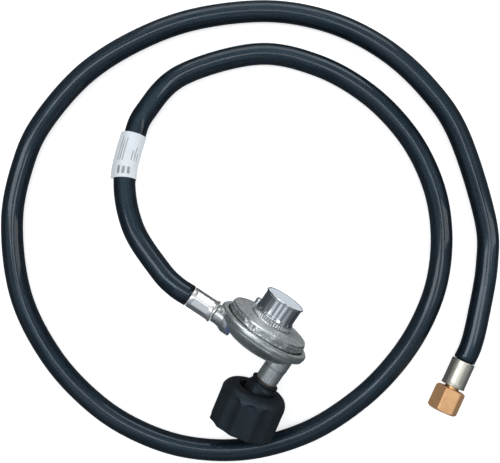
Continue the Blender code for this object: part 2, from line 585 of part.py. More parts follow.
def make_diaphragm_stack(axis):
    """Rubber diaphragm, its plate, the hooked post, the nut on it and the main spring."""
    middle = DIAPHRAGM_Z + DIAPHRAGM_T / 2
    half = DIAPHRAGM_T / 2
    hole = POST_R + GAP
    crest = (PLATE_R + CAVITY_R) / 2
    line = [(hole, 0.0), (PLATE_R + 0.6, 0.0), (crest - 1.6, CONVOLUTION_H * 0.6), (crest, CONVOLUTION_H),
            (crest + 1.6, CONVOLUTION_H * 0.6), (CAVITY_R - 0.6, 0.0), (BONNET_R, 0.0)]
    sheet = [(r, middle + z + half) for r, z in line] + [(r, middle + z - half) for r, z in line[::-1]]
    piece("diaphragm", turned("diaphragm", sheet), "moving_rubber", axis)
    plate_rim = PLATE_Z + PLATE_RIM_H + PLATE_T
    piece("diaphragm_plate", turned("diaphragm_plate", [
        (hole, PLATE_Z + PLATE_T), (hole, PLATE_Z), (PLATE_R, PLATE_Z), (PLATE_R, plate_rim),
        (PLATE_R - PLATE_T, plate_rim), (PLATE_R - PLATE_T, PLATE_Z + PLATE_T)]),
        "steel", axis)
    post_top = PLATE_Z + PLATE_T + POST_TOP
    low = LOWER_COLLAR_TOP
    lower_r = LEVER_FORK / 2 + 1.0
    piece("diaphragm_post", turned("diaphragm_post", [
        (0.0, post_top), (POST_R, post_top), (POST_R, COLLAR_TOP), (POST_COLLAR_R, COLLAR_TOP),
        (POST_COLLAR_R, COLLAR_TOP - POST_COLLAR_T), (POST_R, COLLAR_TOP - POST_COLLAR_T), (POST_R, low),
        (lower_r, low), (lower_r, low - POST_COLLAR_T), (0.0, low - POST_COLLAR_T)], SMALL_STEPS),
        "brass", axis)
    nut = piece("stack_nut", extruded("stack_nut", regular_outline(STACK_NUT_AF, 6), STACK_NUT_T),
                "brass", axis, (0, 0, PLATE_Z + PLATE_T + GAP))
    hole_cut = turned("stack_nut_hole", [
        (0.0, STACK_NUT_T + 1.0), (hole, STACK_NUT_T + 1.0), (hole, -1.0), (0.0, -1.0)], SMALL_STEPS)
    boolean(nut, tool("stack_nut_cut", hole_cut, axis, (0, 0, PLATE_Z + PLATE_T + GAP)), 'DIFFERENCE')
    coil("main_spring", SPRING_R, SPRING_WIRE, SPRING_TURNS, PLATE_Z + PLATE_T + GAP, BUTTON_Z - GAP,
         "spring_steel", axis, steps_per_turn=16, resolution=1)


def make_valve(axis, inlet):
    """Lever on its pin and bracket, seat disc in its holder, and the orifice it closes."""
    pin_frame = frame("lever_axis", axis, (PIN_X, 0.0, PIN_Z), Matrix.Rotation(math.radians(90), 4, 'X'))
    half = LEVER_WIDTH / 2
    long_end, short_end = -(PIN_X + LEVER_REACH), INLET_X - PIN_X + 1.6
    hub_angles = [math.radians(150 - 20 * i) for i in range(7)]
    hub = [(LEVER_HUB_R * math.cos(a), LEVER_HUB_R * math.sin(a)) for a in hub_angles]
    under = [(x, -y) for x, y in hub[::-1]]
    side = [(long_end, LEVER_T / 2), *hub, (short_end, LEVER_T / 2), (short_end, -LEVER_T / 2),
            *under, (long_end, -LEVER_T / 2)]
    lever = piece("lever", extruded("lever", side, LEVER_WIDTH), "steel", pin_frame, (0, 0, -half))
    pin_hole = extruded("pin_hole", regular_outline(2 * (PIN_R + GAP), 16), LEVER_WIDTH + 2.0)
    boolean(lever, tool("pin_hole_cut", pin_hole, pin_frame, (0, 0, -half - 1.0)), 'DIFFERENCE')
    slot = extruded("fork_slot", box_outline(2 * (LEVER_REACH + LEVER_FORK / 2 + 0.6), LEVER_FORK),
                    LEVER_HUB_R * 2)
    boolean(lever, tool("fork_slot_cut", slot, axis, (-LEVER_REACH, 0, LEVER_Z - LEVER_HUB_R)), 'DIFFERENCE')

    ear_in = half + GAP
    ear_out = ear_in + BRACKET_T
    foot = CAVITY_Z + GAP
    rise = PIN_Z + PIN_R + 0.8
    bracket_outline = [(-ear_out, foot), (ear_out, foot), (ear_out, rise), (ear_in, rise),
                       (ear_in, foot + BRACKET_T), (-ear_in, foot + BRACKET_T), (-ear_in, rise),
                       (-ear_out, rise)]
    upright = Matrix.Rotation(math.radians(90), 4, 'Z') @ Matrix.Rotation(math.radians(90), 4, 'X')
    bracket_x = PIN_X - BRACKET_LENGTH / 2 - 0.9
    bracket = piece("lever_bracket", extruded("lever_bracket", bracket_outline, BRACKET_LENGTH),
                    "steel", axis, (bracket_x, 0, 0), upright)
    ear_hole = extruded("ear_hole", regular_outline(2 * (PIN_R + GAP), 16), 2 * ear_out + 2.0)
    boolean(bracket, tool("ear_hole_cut", ear_hole, pin_frame, (0, 0, -ear_out - 1.0)), 'DIFFERENCE')
    pin_length = 2 * ear_out + 1.0
    piece("lever_pin", extruded("lever_pin", regular_outline(2 * PIN_R, 16), pin_length), "steel",
          pin_frame, (0, 0, -pin_length / 2))

    holder_top = HOLDER_Z + HOLDER_H
    piece("valve_holder", turned("valve_holder", [
        (0.0, holder_top), (HOLDER_R - 1.0, holder_top), (HOLDER_R, holder_top - 0.8), (HOLDER_R, HOLDER_Z),
        (0.0, HOLDER_Z)], SMALL_STEPS), "brass", inlet)
    piece("seat_disc", turned("seat_disc", [
        (0.0, SEAT_DISC_Z + SEAT_DISC_T), (SEAT_DISC_R, SEAT_DISC_Z + SEAT_DISC_T),
        (SEAT_DISC_R, SEAT_DISC_Z), (0.0, SEAT_DISC_Z)], SMALL_STEPS), "moving_rubber", inlet)
    piece("orifice", turned("orifice", [
        (ORIFICE_BORE_R, ORIFICE_TOP), (ORIFICE_BORE_R, ORIFICE_Z), (ORIFICE_R, ORIFICE_Z),
        (ORIFICE_R, ORIFICE_TOP - 1.6), (ORIFICE_NOSE_R, ORIFICE_TOP - 0.6), (ORIFICE_NOSE_R, ORIFICE_TOP)],
        SMALL_STEPS), "brass", inlet)


# --- bottle connection ----------------------------------------------------------------------------
def make_inlet(inlet):
    """Brass nipple in the stem, and the thermal bushing with its lip around it."""
    piece("inlet_nipple", turned("inlet_nipple", [
        (PASSAGE_R, NIPPLE_TOP), (PASSAGE_R, CHECK_SEAT_Z), (PROBE_BORE_R, CHECK_SEAT_Z),
        (PROBE_BORE_R, PROBE_END), (PROBE_TIP_R, PROBE_END), (PROBE_TIP_R + 0.7, PROBE_END + 1.2),
        (PROBE_R, PROBE_END + PROBE_LENGTH * 0.5), (PROBE_R, NIPPLE_FLANGE_Z),
        (NIPPLE_FLANGE_R, NIPPLE_FLANGE_Z), (NIPPLE_FLANGE_R, NIPPLE_FLANGE_TOP),
        (NIPPLE_R, NIPPLE_FLANGE_TOP), (NIPPLE_R, BUSHING_TOP), (NIPPLE_THREAD_R, BUSHING_TOP),
        (NIPPLE_THREAD_R, NIPPLE_TOP)], SMALL_STEPS), "brass", inlet)
    piece("thermal_bushing", turned("thermal_bushing", [
        (BUSHING_BORE_R, BUSHING_TOP), (BUSHING_BORE_R, BUSHING_END), (BUSHING_FLANGE_R, BUSHING_END),
        (BUSHING_FLANGE_R, BUSHING_FLANGE_Z), (BUSHING_R, BUSHING_FLANGE_Z), (BUSHING_R, BUSHING_TOP - 4.6),
        (BUSHING_R - 0.3, BUSHING_TOP - 3.8), (BUSHING_NECK_R, BUSHING_TOP - 2.6),
        (BUSHING_NECK_R, BUSHING_TOP - 1.8), (BUSHING_LIP_R, BUSHING_TOP - 1.1),
        (BUSHING_LIP_R, BUSHING_TOP - 0.3), (BUSHING_LIP_R - 0.3, BUSHING_TOP)],
        SMALL_STEPS * 4 // 3), "black_plastic", inlet)


def make_coupling_nut(nut_axis):
    """Hand nut with a rounded shoulder and grips that run out at its open end, and its washer."""
    edge_z = NUT_END + NUT_EDGE
    grip_top = NUT_TOP - NUT_SHOULDER_H
    outline = [
        (NUT_BORE_R, NUT_TOP - 0.6), (NUT_BORE_R, WEB_Z), (NUT_SOCKET_R, WEB_Z),
        (NUT_SOCKET_R, NUT_END + NUT_MOUTH_DEPTH), (NUT_MOUTH_R, NUT_END), (NUT_R - NUT_EDGE, NUT_END),
        (NUT_R, edge_z), (NUT_R, (edge_z + grip_top) / 2)]
    for degrees in (0, 22, 45, 68, 90):
        turn = math.radians(degrees)
        outline.append((NUT_SHOULDER_R + (NUT_R - NUT_SHOULDER_R) * math.cos(turn),
                        grip_top + NUT_SHOULDER_H * math.sin(turn)))
    outline.append((NUT_BORE_R + 0.6, NUT_TOP))
    nut = turned("coupling_nut", outline, NUT_GRIPS * NUT_STEPS_PER_GRIP)
    fade = NUT_SHOULDER_H * 0.7

    def gripped(radius, angle, z):
        """Pull the wall in between the ridges, less and less over the shoulder."""
        if radius < NUT_MOUTH_R + 1.0:
            return radius
        share = min(1.0, max(0.0, (grip_top + fade - z) / fade))
        return radius - grip_scoop(angle) * share

    reshape(nut, gripped)
    piece("coupling_nut", nut, "black_plastic", nut_axis, turn=Matrix.Rotation(math.pi / NUT_GRIPS, 4, 'Z'))
    washer_top = WEB_Z - GAP
    washer_hole = (NUT_BORE_R + BUSHING_R) / 2
    piece("slip_washer", turned("slip_washer", [
        (washer_hole, washer_top), (washer_hole, washer_top - WASHER_T),
        (BUSHING_FLANGE_R + 0.6, washer_top - WASHER_T), (BUSHING_FLANGE_R + 0.6, washer_top)]),
        "brass", nut_axis)


def make_check_valve(inlet):
    """Excess-flow poppet, its spring, and the ring that keeps them in the nipple."""
    head_bottom = POPPET_Z - POPPET_HEAD_T
    piece("check_poppet", turned("check_poppet", [
        (0.0, POPPET_Z + POPPET_NOSE_L), (POPPET_NOSE_R / 2, POPPET_Z + POPPET_NOSE_L),
        (POPPET_NOSE_R, POPPET_Z + POPPET_NOSE_L - 1.7), (POPPET_NOSE_R, POPPET_Z),
        (POPPET_HEAD_R, POPPET_Z), (POPPET_HEAD_R, head_bottom), (POPPET_TAIL_R, head_bottom),
        (POPPET_TAIL_R, head_bottom - POPPET_TAIL_L), (0.0, head_bottom - POPPET_TAIL_L)],
        SMALL_STEPS), "brass", inlet)
    ring_top = head_bottom - GAP
    piece("check_retainer", turned("check_retainer", [
        (POPPET_TAIL_R + GAP, ring_top), (POPPET_TAIL_R + GAP, ring_top - RETAINER_T),
        (PROBE_BORE_R - GAP, ring_top - RETAINER_T), (PROBE_BORE_R - GAP, ring_top)],
        SMALL_STEPS), "steel", inlet)
    coil("check_spring", CHECK_SPRING_R, CHECK_WIRE, CHECK_TURNS, POPPET_Z + GAP, CHECK_SEAT_Z - GAP,
         "spring_steel", inlet, steps_per_turn=12, resolution=0)


# --- hose and its ends ----------------------------------------------------------------------------
def barb_outline(start, end):
    """The barbed outside of a hose tail, from its root to its tip."""
    count = max(1, int((end - start - 1.0) / BARB_PITCH))
    points = []
    for i in range(count):
        z = start + i * BARB_PITCH
        points += [(BARB_ROOT_R, z), (BARB_R, z + 0.3), (BARB_ROOT_R, z + BARB_PITCH - 0.2)]
    return points + [(BARB_ROOT_R, end - 0.6), (BARB_ROOT_R - 0.6, end)]


def ferrule_mesh(name, outer_r):
    """Crimped sleeve: end wall at z = 0 with a raised lip, mouth at its length."""
    inside = outer_r - FERRULE_WALL
    hole = TAIL_NECK_R + GAP
    crimp_start, crimp_end = FERRULE_LIP_T + CRIMP_MARGIN, FERRULE_LENGTH - CRIMP_MARGIN
    outline = [
        (hole, 0.0), (outer_r + FERRULE_LIP - 0.3, 0.0), (outer_r + FERRULE_LIP, 0.3),
        (outer_r + FERRULE_LIP, FERRULE_LIP_T), (outer_r, FERRULE_LIP_T + 0.5), (outer_r, crimp_start),
        (outer_r, crimp_start + 0.6), (outer_r, crimp_end - 0.6), (outer_r, crimp_end),
        (outer_r, FERRULE_LENGTH), (inside, FERRULE_LENGTH),
        (inside, FERRULE_END_T), (hole, FERRULE_END_T)]
    mesh = turned(name, outline, CRIMP_SIDES * 2)
    flat = outer_r * math.cos(math.pi / CRIMP_SIDES) * 1.02

    def crimped(radius, angle, z):
        """Press the band between the crimp's ends into flats."""
        if radius < outer_r - 0.1 or z < crimp_start + 0.3 or z > crimp_end - 0.3:
            return radius
        side = 2 * math.pi / CRIMP_SIDES
        off_flat = (angle + side / 2) % side - side / 2
        return min(outer_r, flat / math.cos(off_flat))

    reshape(mesh, crimped)
    return mesh


def hose_tail_mesh(name, ferrule_r):
    """Stretch of hose squeezed between the barb and the ferrule, from z = 0 to its mouth."""
    outside = ferrule_r - FERRULE_WALL - GAP
    inside = BARB_R + GAP
    length = FERRULE_LENGTH - FERRULE_END_T - GAP
    return turned(name, [(inside, 0.0), (outside, 0.0), (outside, length), (inside, length)], SMALL_STEPS)


def make_outlet(outlet):
    """Brass barb in the body's neck, with the ferrule and the hose's end over it."""
    start = NECK_END - BARB_STUB
    barbs = barb_outline(FERRULE_START + FERRULE_END_T + 0.6, FERRULE_FACE - 0.6)
    stub = NECK_BORE_R - GAP
    piece("outlet_barb", turned("outlet_barb", [
        (BARB_BORE_R, start), (stub, start), (stub, FERRULE_START + FERRULE_END_T), *barbs,
        (BARB_BORE_R, FERRULE_FACE - 0.6)], SMALL_STEPS), "brass", outlet)
    piece("ferrule_regulator", ferrule_mesh("ferrule_regulator", FERRULE_A_R), "steel", outlet,
          (0, 0, FERRULE_START))
    piece("hose_end_regulator", hose_tail_mesh("hose_end_regulator", FERRULE_A_R), "hose_rubber", outlet,
          (0, 0, FERRULE_START + FERRULE_END_T + GAP))


def make_hose(points):
    """The free hose as one bevelled polyline with closed ends."""
    curve = bpy.data.curves.new("hose", 'CURVE')
    curve.dimensions = '3D'
    curve.bevel_depth = HOSE_R * MM
    curve.bevel_resolution = HOSE_SIDES_RESOLUTION
    curve.use_fill_caps = True
    spline = curve.splines.new('POLY')
    spline.points.add(len(points) - 1)
    for point, place in zip(spline.points, points):
        point.co = (*(place * MM), 1.0)
    piece("hose", curve, "hose_rubber", None)


def along(start, end):
    """The turn that points Z from start to end, with X level and Y downwards."""
    z_axis = Vector(end - start).normalized()
    x_axis = z_axis.cross(Vector((0, 0, 1))).normalized()
    y_axis = z_axis.cross(x_axis)
    return Matrix((x_axis, y_axis, z_axis)).transposed().to_4x4()


def make_label(start, end):
    """Film wrapped once round the hose, its loose end standing off as a flap."""
    inner = HOSE_R + GAP
    outer = inner + LABEL_T
    wrap = [math.radians(degrees) for degrees in range(0, 345, 15)]
    outside = [(outer * math.cos(a), outer * math.sin(a)) for a in wrap]
    inside = [(inner * math.cos(a), inner * math.sin(a)) for a in wrap]
    flap = [(inner, -LABEL_FLAP), (outer, -LABEL_FLAP)]
    length = float(np.linalg.norm(end - start)) - 2 * LABEL_INSET
    wrapped = extruded("hose_label", [*flap, *outside, *inside[::-1]], length)
    turn = along(start, end)
    place = Vector(start) + turn @ Vector((0.0, 0.0, LABEL_INSET))
    roll = Matrix.Rotation(math.radians(205), 4, 'Z')
    piece("hose_label", wrapped, "label_film", None, place, turn @ roll)


def make_fitting(end_frame):
    """Ferrule, hose end and barbed tail, with the hexagon swivel nut turning on the tail."""
    ferrule_end = GAP + FERRULE_LENGTH
    flip = Matrix.Rotation(math.pi, 4, 'X')
    piece("ferrule_fitting", ferrule_mesh("ferrule_fitting", FERRULE_B_R), "steel", end_frame,
          (0, 0, ferrule_end), flip)
    piece("hose_end_fitting", hose_tail_mesh("hose_end_fitting", FERRULE_B_R), "hose_rubber", end_frame,
          (0, 0, ferrule_end - FERRULE_END_T - GAP), flip)
    shoulder = SWIVEL_SOCKET_Z + GAP
    cone = shoulder + TAIL_SHOULDER_T
    tip = cone + TAIL_SHOULDER_R - TAIL_CONE_TIP_R
    barb_root = ferrule_end - FERRULE_END_T - 0.6
    barbs = [(r, barb_root - z) for r, z in barb_outline(0.0, barb_root - GAP - 0.6)]
    piece("flare_tail", turned("flare_tail", [
        (BARB_BORE_R, tip), (TAIL_CONE_TIP_R, tip), (TAIL_SHOULDER_R, cone), (TAIL_SHOULDER_R, shoulder),
        (TAIL_NECK_R, shoulder), (TAIL_NECK_R, ferrule_end - FERRULE_END_T), *barbs,
        (BARB_BORE_R, GAP + 0.6)], SMALL_STEPS), "brass", end_frame)

    swivel_end = SWIVEL_Z + SWIVEL_LENGTH
    nut = piece("swivel_nut", extruded("swivel_nut", regular_outline(SWIVEL_AF, 6), SWIVEL_LENGTH),
                "brass", end_frame, (0, 0, SWIVEL_Z))
    corner = SWIVEL_AF / 2 / math.cos(math.pi / 6)
    face = corner - SWIVEL_CHAMFER * 1.6
    blank = turned("swivel_blank", [
        (0.0, swivel_end), (face, swivel_end), (corner + 0.1, swivel_end - SWIVEL_CHAMFER),
        (corner + 0.1, SWIVEL_Z + SWIVEL_CHAMFER), (face, SWIVEL_Z), (0.0, SWIVEL_Z)])
    neck_hole = TAIL_NECK_R + RUNNING_GAP
    bore = turned("swivel_bore", [
        (0.0, swivel_end + 1.0), (SWIVEL_MOUTH_R, swivel_end + 1.0), (SWIVEL_MOUTH_R, swivel_end),
        (SWIVEL_SOCKET_R, swivel_end - 0.8), (SWIVEL_SOCKET_R, SWIVEL_SOCKET_Z),
        (neck_hole, SWIVEL_SOCKET_Z), (neck_hole, SWIVEL_Z - 1.0), (0.0, SWIVEL_Z - 1.0)], SMALL_STEPS)
    boolean(nut, tool("swivel_blank_trim", blank, end_frame), 'INTERSECT')
    boolean(nut, tool("swivel_bore_cut", bore, end_frame), 'DIFFERENCE')


def main():
    """Clear the scene and build the regulator, then the hose and its fitting."""
    for old in list(bpy.data.objects):
        bpy.data.objects.remove(old, do_unlink=True)

    drop = FLANGE_R - nut_rest_radius()
    lie = math.atan(drop / (RIM_Z - (NUT_PIVOT_Z + NUT_END + NUT_EDGE)))
    height = FLANGE_R * math.cos(lie) - RIM_Z * math.sin(lie)
    lie_turn = Matrix.Rotation(math.radians(-90) + lie, 4, 'X')
    axis = frame("regulator_axis", None, (*REGULATOR_AT, height), lie_turn)
    inlet = frame("inlet_axis", axis, (INLET_X, 0.0, 0.0))
    swing = lie_turn.inverted() @ Matrix.Rotation(math.radians(NUT_SWING), 4, 'Z') @ lie_turn
    nut_axis = frame("coupling_axis", inlet, (0.0, 0.0, NUT_PIVOT_Z), swing)
    outlet = frame("outlet_axis", axis, (0.0, 0.0, OUTLET_Z), Matrix.Rotation(math.radians(-90), 4, 'Y'))

    make_lower_body(axis, inlet, outlet)
    make_bonnet(axis)
    make_cap(axis)
    make_adjuster(axis)
    make_diaphragm_stack(axis)
    make_valve(axis, inlet)
    make_inlet(inlet)
    make_coupling_nut(nut_axis)
    make_check_valve(inlet)
    make_outlet(outlet)

    bpy.context.view_layer.update()
    leaving = [outlet.matrix_world @ Vector((0, 0, (HOSE_START + run) * MM)) / MM
               for run in (0.0, HOSE_STRAIGHT)]
    lying = [(x, y, HOSE_R + lift) for x, y, lift in ROUTE]
    points, label_start, label_end = hose_points([tuple(place) for place in leaving] + lying)
    make_hose(points)
    make_label(label_start, label_end)
    end_frame = frame("fitting_axis", None, points[-1], along(points[-2], points[-1]))
    make_fitting(end_frame)


main()
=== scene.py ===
"""Looks of a low-pressure gas regulator on a rubber hose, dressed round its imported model.

Lengths are in millimetres until a mesh is made, and metres from there on.  The regulator's
own frame has +Z along its axis towards the cap, +X towards the inlet and +Y downwards.
"""
from __future__ import annotations

import json
import logging
import math
from dataclasses import dataclass, field
from enum import Enum
from typing import Callable, Sequence

import bmesh
import bpy
import numpy as np
from mathutils import Matrix, Vector


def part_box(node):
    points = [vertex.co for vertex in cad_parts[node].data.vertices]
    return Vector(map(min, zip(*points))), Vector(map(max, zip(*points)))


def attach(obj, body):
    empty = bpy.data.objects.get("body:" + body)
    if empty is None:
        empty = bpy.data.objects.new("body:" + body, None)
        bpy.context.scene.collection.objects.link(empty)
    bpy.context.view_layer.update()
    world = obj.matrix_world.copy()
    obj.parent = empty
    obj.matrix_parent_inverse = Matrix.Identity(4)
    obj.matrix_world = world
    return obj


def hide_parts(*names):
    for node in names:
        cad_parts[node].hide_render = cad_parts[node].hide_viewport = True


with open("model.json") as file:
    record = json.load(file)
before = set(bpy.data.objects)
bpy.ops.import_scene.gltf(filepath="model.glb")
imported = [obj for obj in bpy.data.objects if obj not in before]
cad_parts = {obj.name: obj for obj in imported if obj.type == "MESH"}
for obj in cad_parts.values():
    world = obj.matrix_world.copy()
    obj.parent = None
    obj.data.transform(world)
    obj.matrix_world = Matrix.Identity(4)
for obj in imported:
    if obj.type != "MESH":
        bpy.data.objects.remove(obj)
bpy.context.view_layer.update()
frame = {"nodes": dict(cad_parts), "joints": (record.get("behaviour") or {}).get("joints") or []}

MM = 0.001
FULL_TURN = 2 * math.pi

log = logging.getLogger("gas_regulator")

Outline = list[tuple[float, float]]
Colour = tuple[float, float, float]
Triple = tuple[float, float, float]
Reshape = Callable[[float, float, float], float]


class Slot(Enum):
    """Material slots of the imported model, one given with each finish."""

    ZINC = "cast_zinc"
    CHROME = "chrome"
    BRASS = "brass"
    STEEL = "steel"
    SPRING = "spring_steel"
    FERRULE = "ferrule_steel"
    NUT = "nut_plastic"
    BUSHING = "bushing_plastic"
    HOSE = "hose_rubber"
    INNER_RUBBER = "inner_rubber"
    LABEL = "label_film"


# --- shader helpers ------------------------------------------------------------------------
class Graph:
    """A node tree with short ways to add and join nodes."""

    def __init__(self, tree: bpy.types.NodeTree, material: bpy.types.Material | None = None) -> None:
        """Keep the tree that nodes are added to, and the material that owns it."""
        self.tree = tree
        self.owner = material

    def add(self, kind: str, inputs: dict | None = None, **settings: object) -> bpy.types.Node:
        """Add a node.

        Args:
            kind: Blender's type name of the node.
            inputs: Values or sockets by the input's name or index.
            settings: Properties of the node itself.

        Returns:
            The new node.
        """
        node = self.tree.nodes.new(kind)
        for name, value in settings.items():
            setattr(node, name, value)
        for name, value in (inputs or {}).items():
            self.feed(node.inputs[name], value)
        return node

    def feed(self, socket: bpy.types.NodeSocket, value: object) -> None:
        """Join a socket to another one, or set its value.

        Args:
            socket: The input socket.
            value: An output socket or a plain value.
        """
        if isinstance(value, bpy.types.NodeSocket):
            self.tree.links.new(value, socket)
        else:
            socket.default_value = value

    def math(self, operation: str, *values: object) -> bpy.types.NodeSocket:
        """The output of a Math node with these operands."""
        inputs = dict(enumerate(values))
        return self.add("ShaderNodeMath", inputs, operation=operation).outputs[0]

    def dot(self, first: object, second: object) -> bpy.types.NodeSocket:
        """The dot product of two vectors."""
        node = self.add("ShaderNodeVectorMath", {0: first, 1: second}, operation='DOT_PRODUCT')
        return node.outputs["Value"]

    def mix(self, share: object, first: object, second: object) -> bpy.types.NodeSocket:
        """A colour between two colours."""
        return self.add("ShaderNodeMix", {0: share, 6: first, 7: second}, data_type='RGBA').outputs[2]

    def ramp(self, value: object, low: float, high: float, start: float = 0.0,
             end: float = 1.0) -> bpy.types.NodeSocket:
        """A value moved from one range to another and held inside it."""
        inputs = {"Value": value, "From Min": low, "From Max": high, "To Min": start, "To Max": end}
        return self.add("ShaderNodeMapRange", inputs, clamp=True).outputs["Result"]

    def noise(self, vector: object, scale: object, detail: float = 3.0) -> bpy.types.NodeSocket:
        """The height of a noise texture."""
        inputs = {"Vector": vector, "Scale": scale, "Detail": detail}
        return self.add("ShaderNodeTexNoise", inputs).outputs["Fac"]

    def group(self, tree: bpy.types.NodeTree, inputs: dict) -> bpy.types.Node:
        """Place a shared effect with its own values.

        Args:
            tree: The effect's node group.
            inputs: Values or sockets by the input's name.

        Returns:
            The group's node.
        """
        node = self.tree.nodes.new("ShaderNodeGroup")
        node.node_tree = tree
        for name, value in inputs.items():
            self.feed(node.inputs[name], value)
        return node


def rgba(colour: Colour) -> tuple[float, float, float, float]:
    """The colour with full opacity."""
    return (*colour, 1.0)


def new_effect(name: str, inputs: dict[str, float | Triple], outputs: Sequence[str]) \
        -> tuple[Graph, bpy.types.Node, bpy.types.Node]:
    """Start a shader group that takes a Vector and more inputs and puts out values.

    Args:
        name: The group's name.
        inputs: Its number and vector inputs with their defaults.
        outputs: Its value outputs.

    Returns:
        The group's graph, its input node and its output node.
    """
    tree = bpy.data.node_groups.new(name, "ShaderNodeTree")
    tree.interface.new_socket("Vector", in_out='INPUT', socket_type="NodeSocketVector")
    for label, value in inputs.items():
        kind = "NodeSocketVector" if isinstance(value, tuple) else "NodeSocketFloat"
        socket = tree.interface.new_socket(label, in_out='INPUT', socket_type=kind)
        socket.default_value = value
    for label in outputs:
        tree.interface.new_socket(label, in_out='OUTPUT', socket_type="NodeSocketFloat")
    graph = Graph(tree)
    return graph, graph.add("NodeGroupInput"), graph.add("NodeGroupOutput")


class Effects:
    """The effects that several finishes share, each built once as a node group."""

    def __init__(self) -> None:
        """Build all the groups."""
        self.mottle = self.make_mottle()
        self.grain = self.make_grain()
        self.wear = self.make_wear()
        self.dust = self.make_dust()
        self.turning = self.make_turning()

    @staticmethod
    def make_mottle() -> bpy.types.NodeTree:
        """Soft cloudy variation over a few millimetres.

        Returns:
            The node group.
        """
        graph, given, out = new_effect("mottle", {"Scale": 60.0, "Contrast": 1.0}, ["Mask"])
        clouds = graph.noise(given.outputs["Vector"], given.outputs["Scale"], 5.0)
        centred = graph.math('SUBTRACT', clouds, 0.5)
        spread = graph.math('MULTIPLY', centred, given.outputs["Contrast"])
        graph.feed(out.inputs["Mask"], graph.ramp(spread, -0.3, 0.3))
        return graph.tree

    @staticmethod
    def make_grain() -> bpy.types.NodeTree:
        """Fine pits and bumps of a cast, moulded or tumbled surface.

        Returns:
            The node group.
        """
        graph, given, out = new_effect("grain", {"Scale": 900.0, "Pits": 0.5}, ["Height", "Mask"])
        fine = graph.noise(given.outputs["Vector"], given.outputs["Scale"], 4.0)
        cells = graph.add("ShaderNodeTexVoronoi", {"Vector": given.outputs["Vector"],
                                                   "Scale": given.outputs["Scale"]})
        pits = graph.ramp(cells.outputs["Distance"], 0.0, 0.35)
        sunk = graph.math('MULTIPLY', pits, given.outputs["Pits"])
        graph.feed(out.inputs["Height"], graph.math('ADD', fine, sunk))
        graph.feed(out.inputs["Mask"], graph.ramp(fine, 0.35, 0.65))
        return graph.tree

    @staticmethod
    def make_wear() -> bpy.types.NodeTree:
        """Rubbed bright edges, broken up by noise.

        Returns:
            The node group.
        """
        graph, given, out = new_effect("edge_wear", {"Scale": 250.0, "Strength": 1.0}, ["Mask"])
        point = graph.add("ShaderNodeNewGeometry").outputs["Pointiness"]
        edge = graph.ramp(point, 0.52, 0.62)
        broken = graph.ramp(graph.noise(given.outputs["Vector"], given.outputs["Scale"], 4.0), 0.35, 0.6)
        rubbed = graph.math('MULTIPLY', edge, broken)
        graph.feed(out.inputs["Mask"], graph.math('MULTIPLY', rubbed, given.outputs["Strength"]))
        return graph.tree

    @staticmethod
    def make_dust() -> bpy.types.NodeTree:
        """Sparse pale specks and lint.

        Returns:
            The node group.
        """
        graph, given, out = new_effect("dust", {"Scale": 500.0, "Coverage": 0.1}, ["Mask"])
        cells = graph.add("ShaderNodeTexVoronoi", {"Vector": given.outputs["Vector"],
                                                   "Scale": given.outputs["Scale"]})
        speck = graph.ramp(cells.outputs["Distance"], 0.16, 0.05)
        chosen = graph.math('LESS_THAN', cells.outputs["Color"], given.outputs["Coverage"])
        graph.feed(out.inputs["Mask"], graph.math('MULTIPLY', speck, chosen))
        return graph.tree

    @staticmethod
    def make_turning() -> bpy.types.NodeTree:
        """Fine rings that a lathe leaves across an axis.

        Returns:
            The node group.
        """
        inputs = {"Axis": (0.0, 0.0, 1.0), "Scale": 2600.0}
        graph, given, out = new_effect("turning_marks", inputs, ["Height"])
        along = graph.dot(given.outputs["Vector"], given.outputs["Axis"])
        place = graph.add("ShaderNodeCombineXYZ", {"X": along}).outputs[0]
        graph.feed(out.inputs["Height"], graph.noise(place, given.outputs["Scale"], 3.0))
        return graph.tree


@dataclass(frozen=True)
class Finish:
    """What every finish states, and the start of its material."""

    name: str
    slot: Slot
    colour: Colour
    roughness: float
    metallic: float = 0.0

    def start(self) -> tuple[Graph, bpy.types.Node, bpy.types.NodeSocket]:
        """Make the material's tree with a Principled shader.

        Returns:
            The graph, the Principled node and the object coordinates.
        """
        made = bpy.data.materials.new(self.name)
        made.use_nodes = True
        made.diffuse_color = rgba(self.colour)
        graph = Graph(made.node_tree, made)
        shader = made.node_tree.nodes["Principled BSDF"]
        shader.inputs["Metallic"].default_value = self.metallic
        where = graph.add("ShaderNodeTexCoord").outputs["Object"]
        return graph, shader, where

    def bump(self, graph: Graph, shader: bpy.types.Node, height: object, depth: float,
             normal: object = None) -> bpy.types.NodeSocket:
        """Feed a height into the shader's normal.

        Args:
            graph: The material's graph.
            shader: Its Principled node.
            height: The height, from 0 to 1.
            depth: What a height of 1 stands for, in metres.
            normal: Another bump that this one adds to.

        Returns:
            The normal that now feeds the shader.
        """
        node = graph.add("ShaderNodeBump", {"Height": height, "Distance": depth, "Strength": 1.0})
        if normal is not None:
            graph.feed(node.inputs["Normal"], normal)
        graph.feed(shader.inputs["Normal"], node.outputs[0])
        return node.outputs[0]

    def material(self, effects: Effects) -> bpy.types.Material:
        """Build the material; each finish says how."""
        raise NotImplementedError


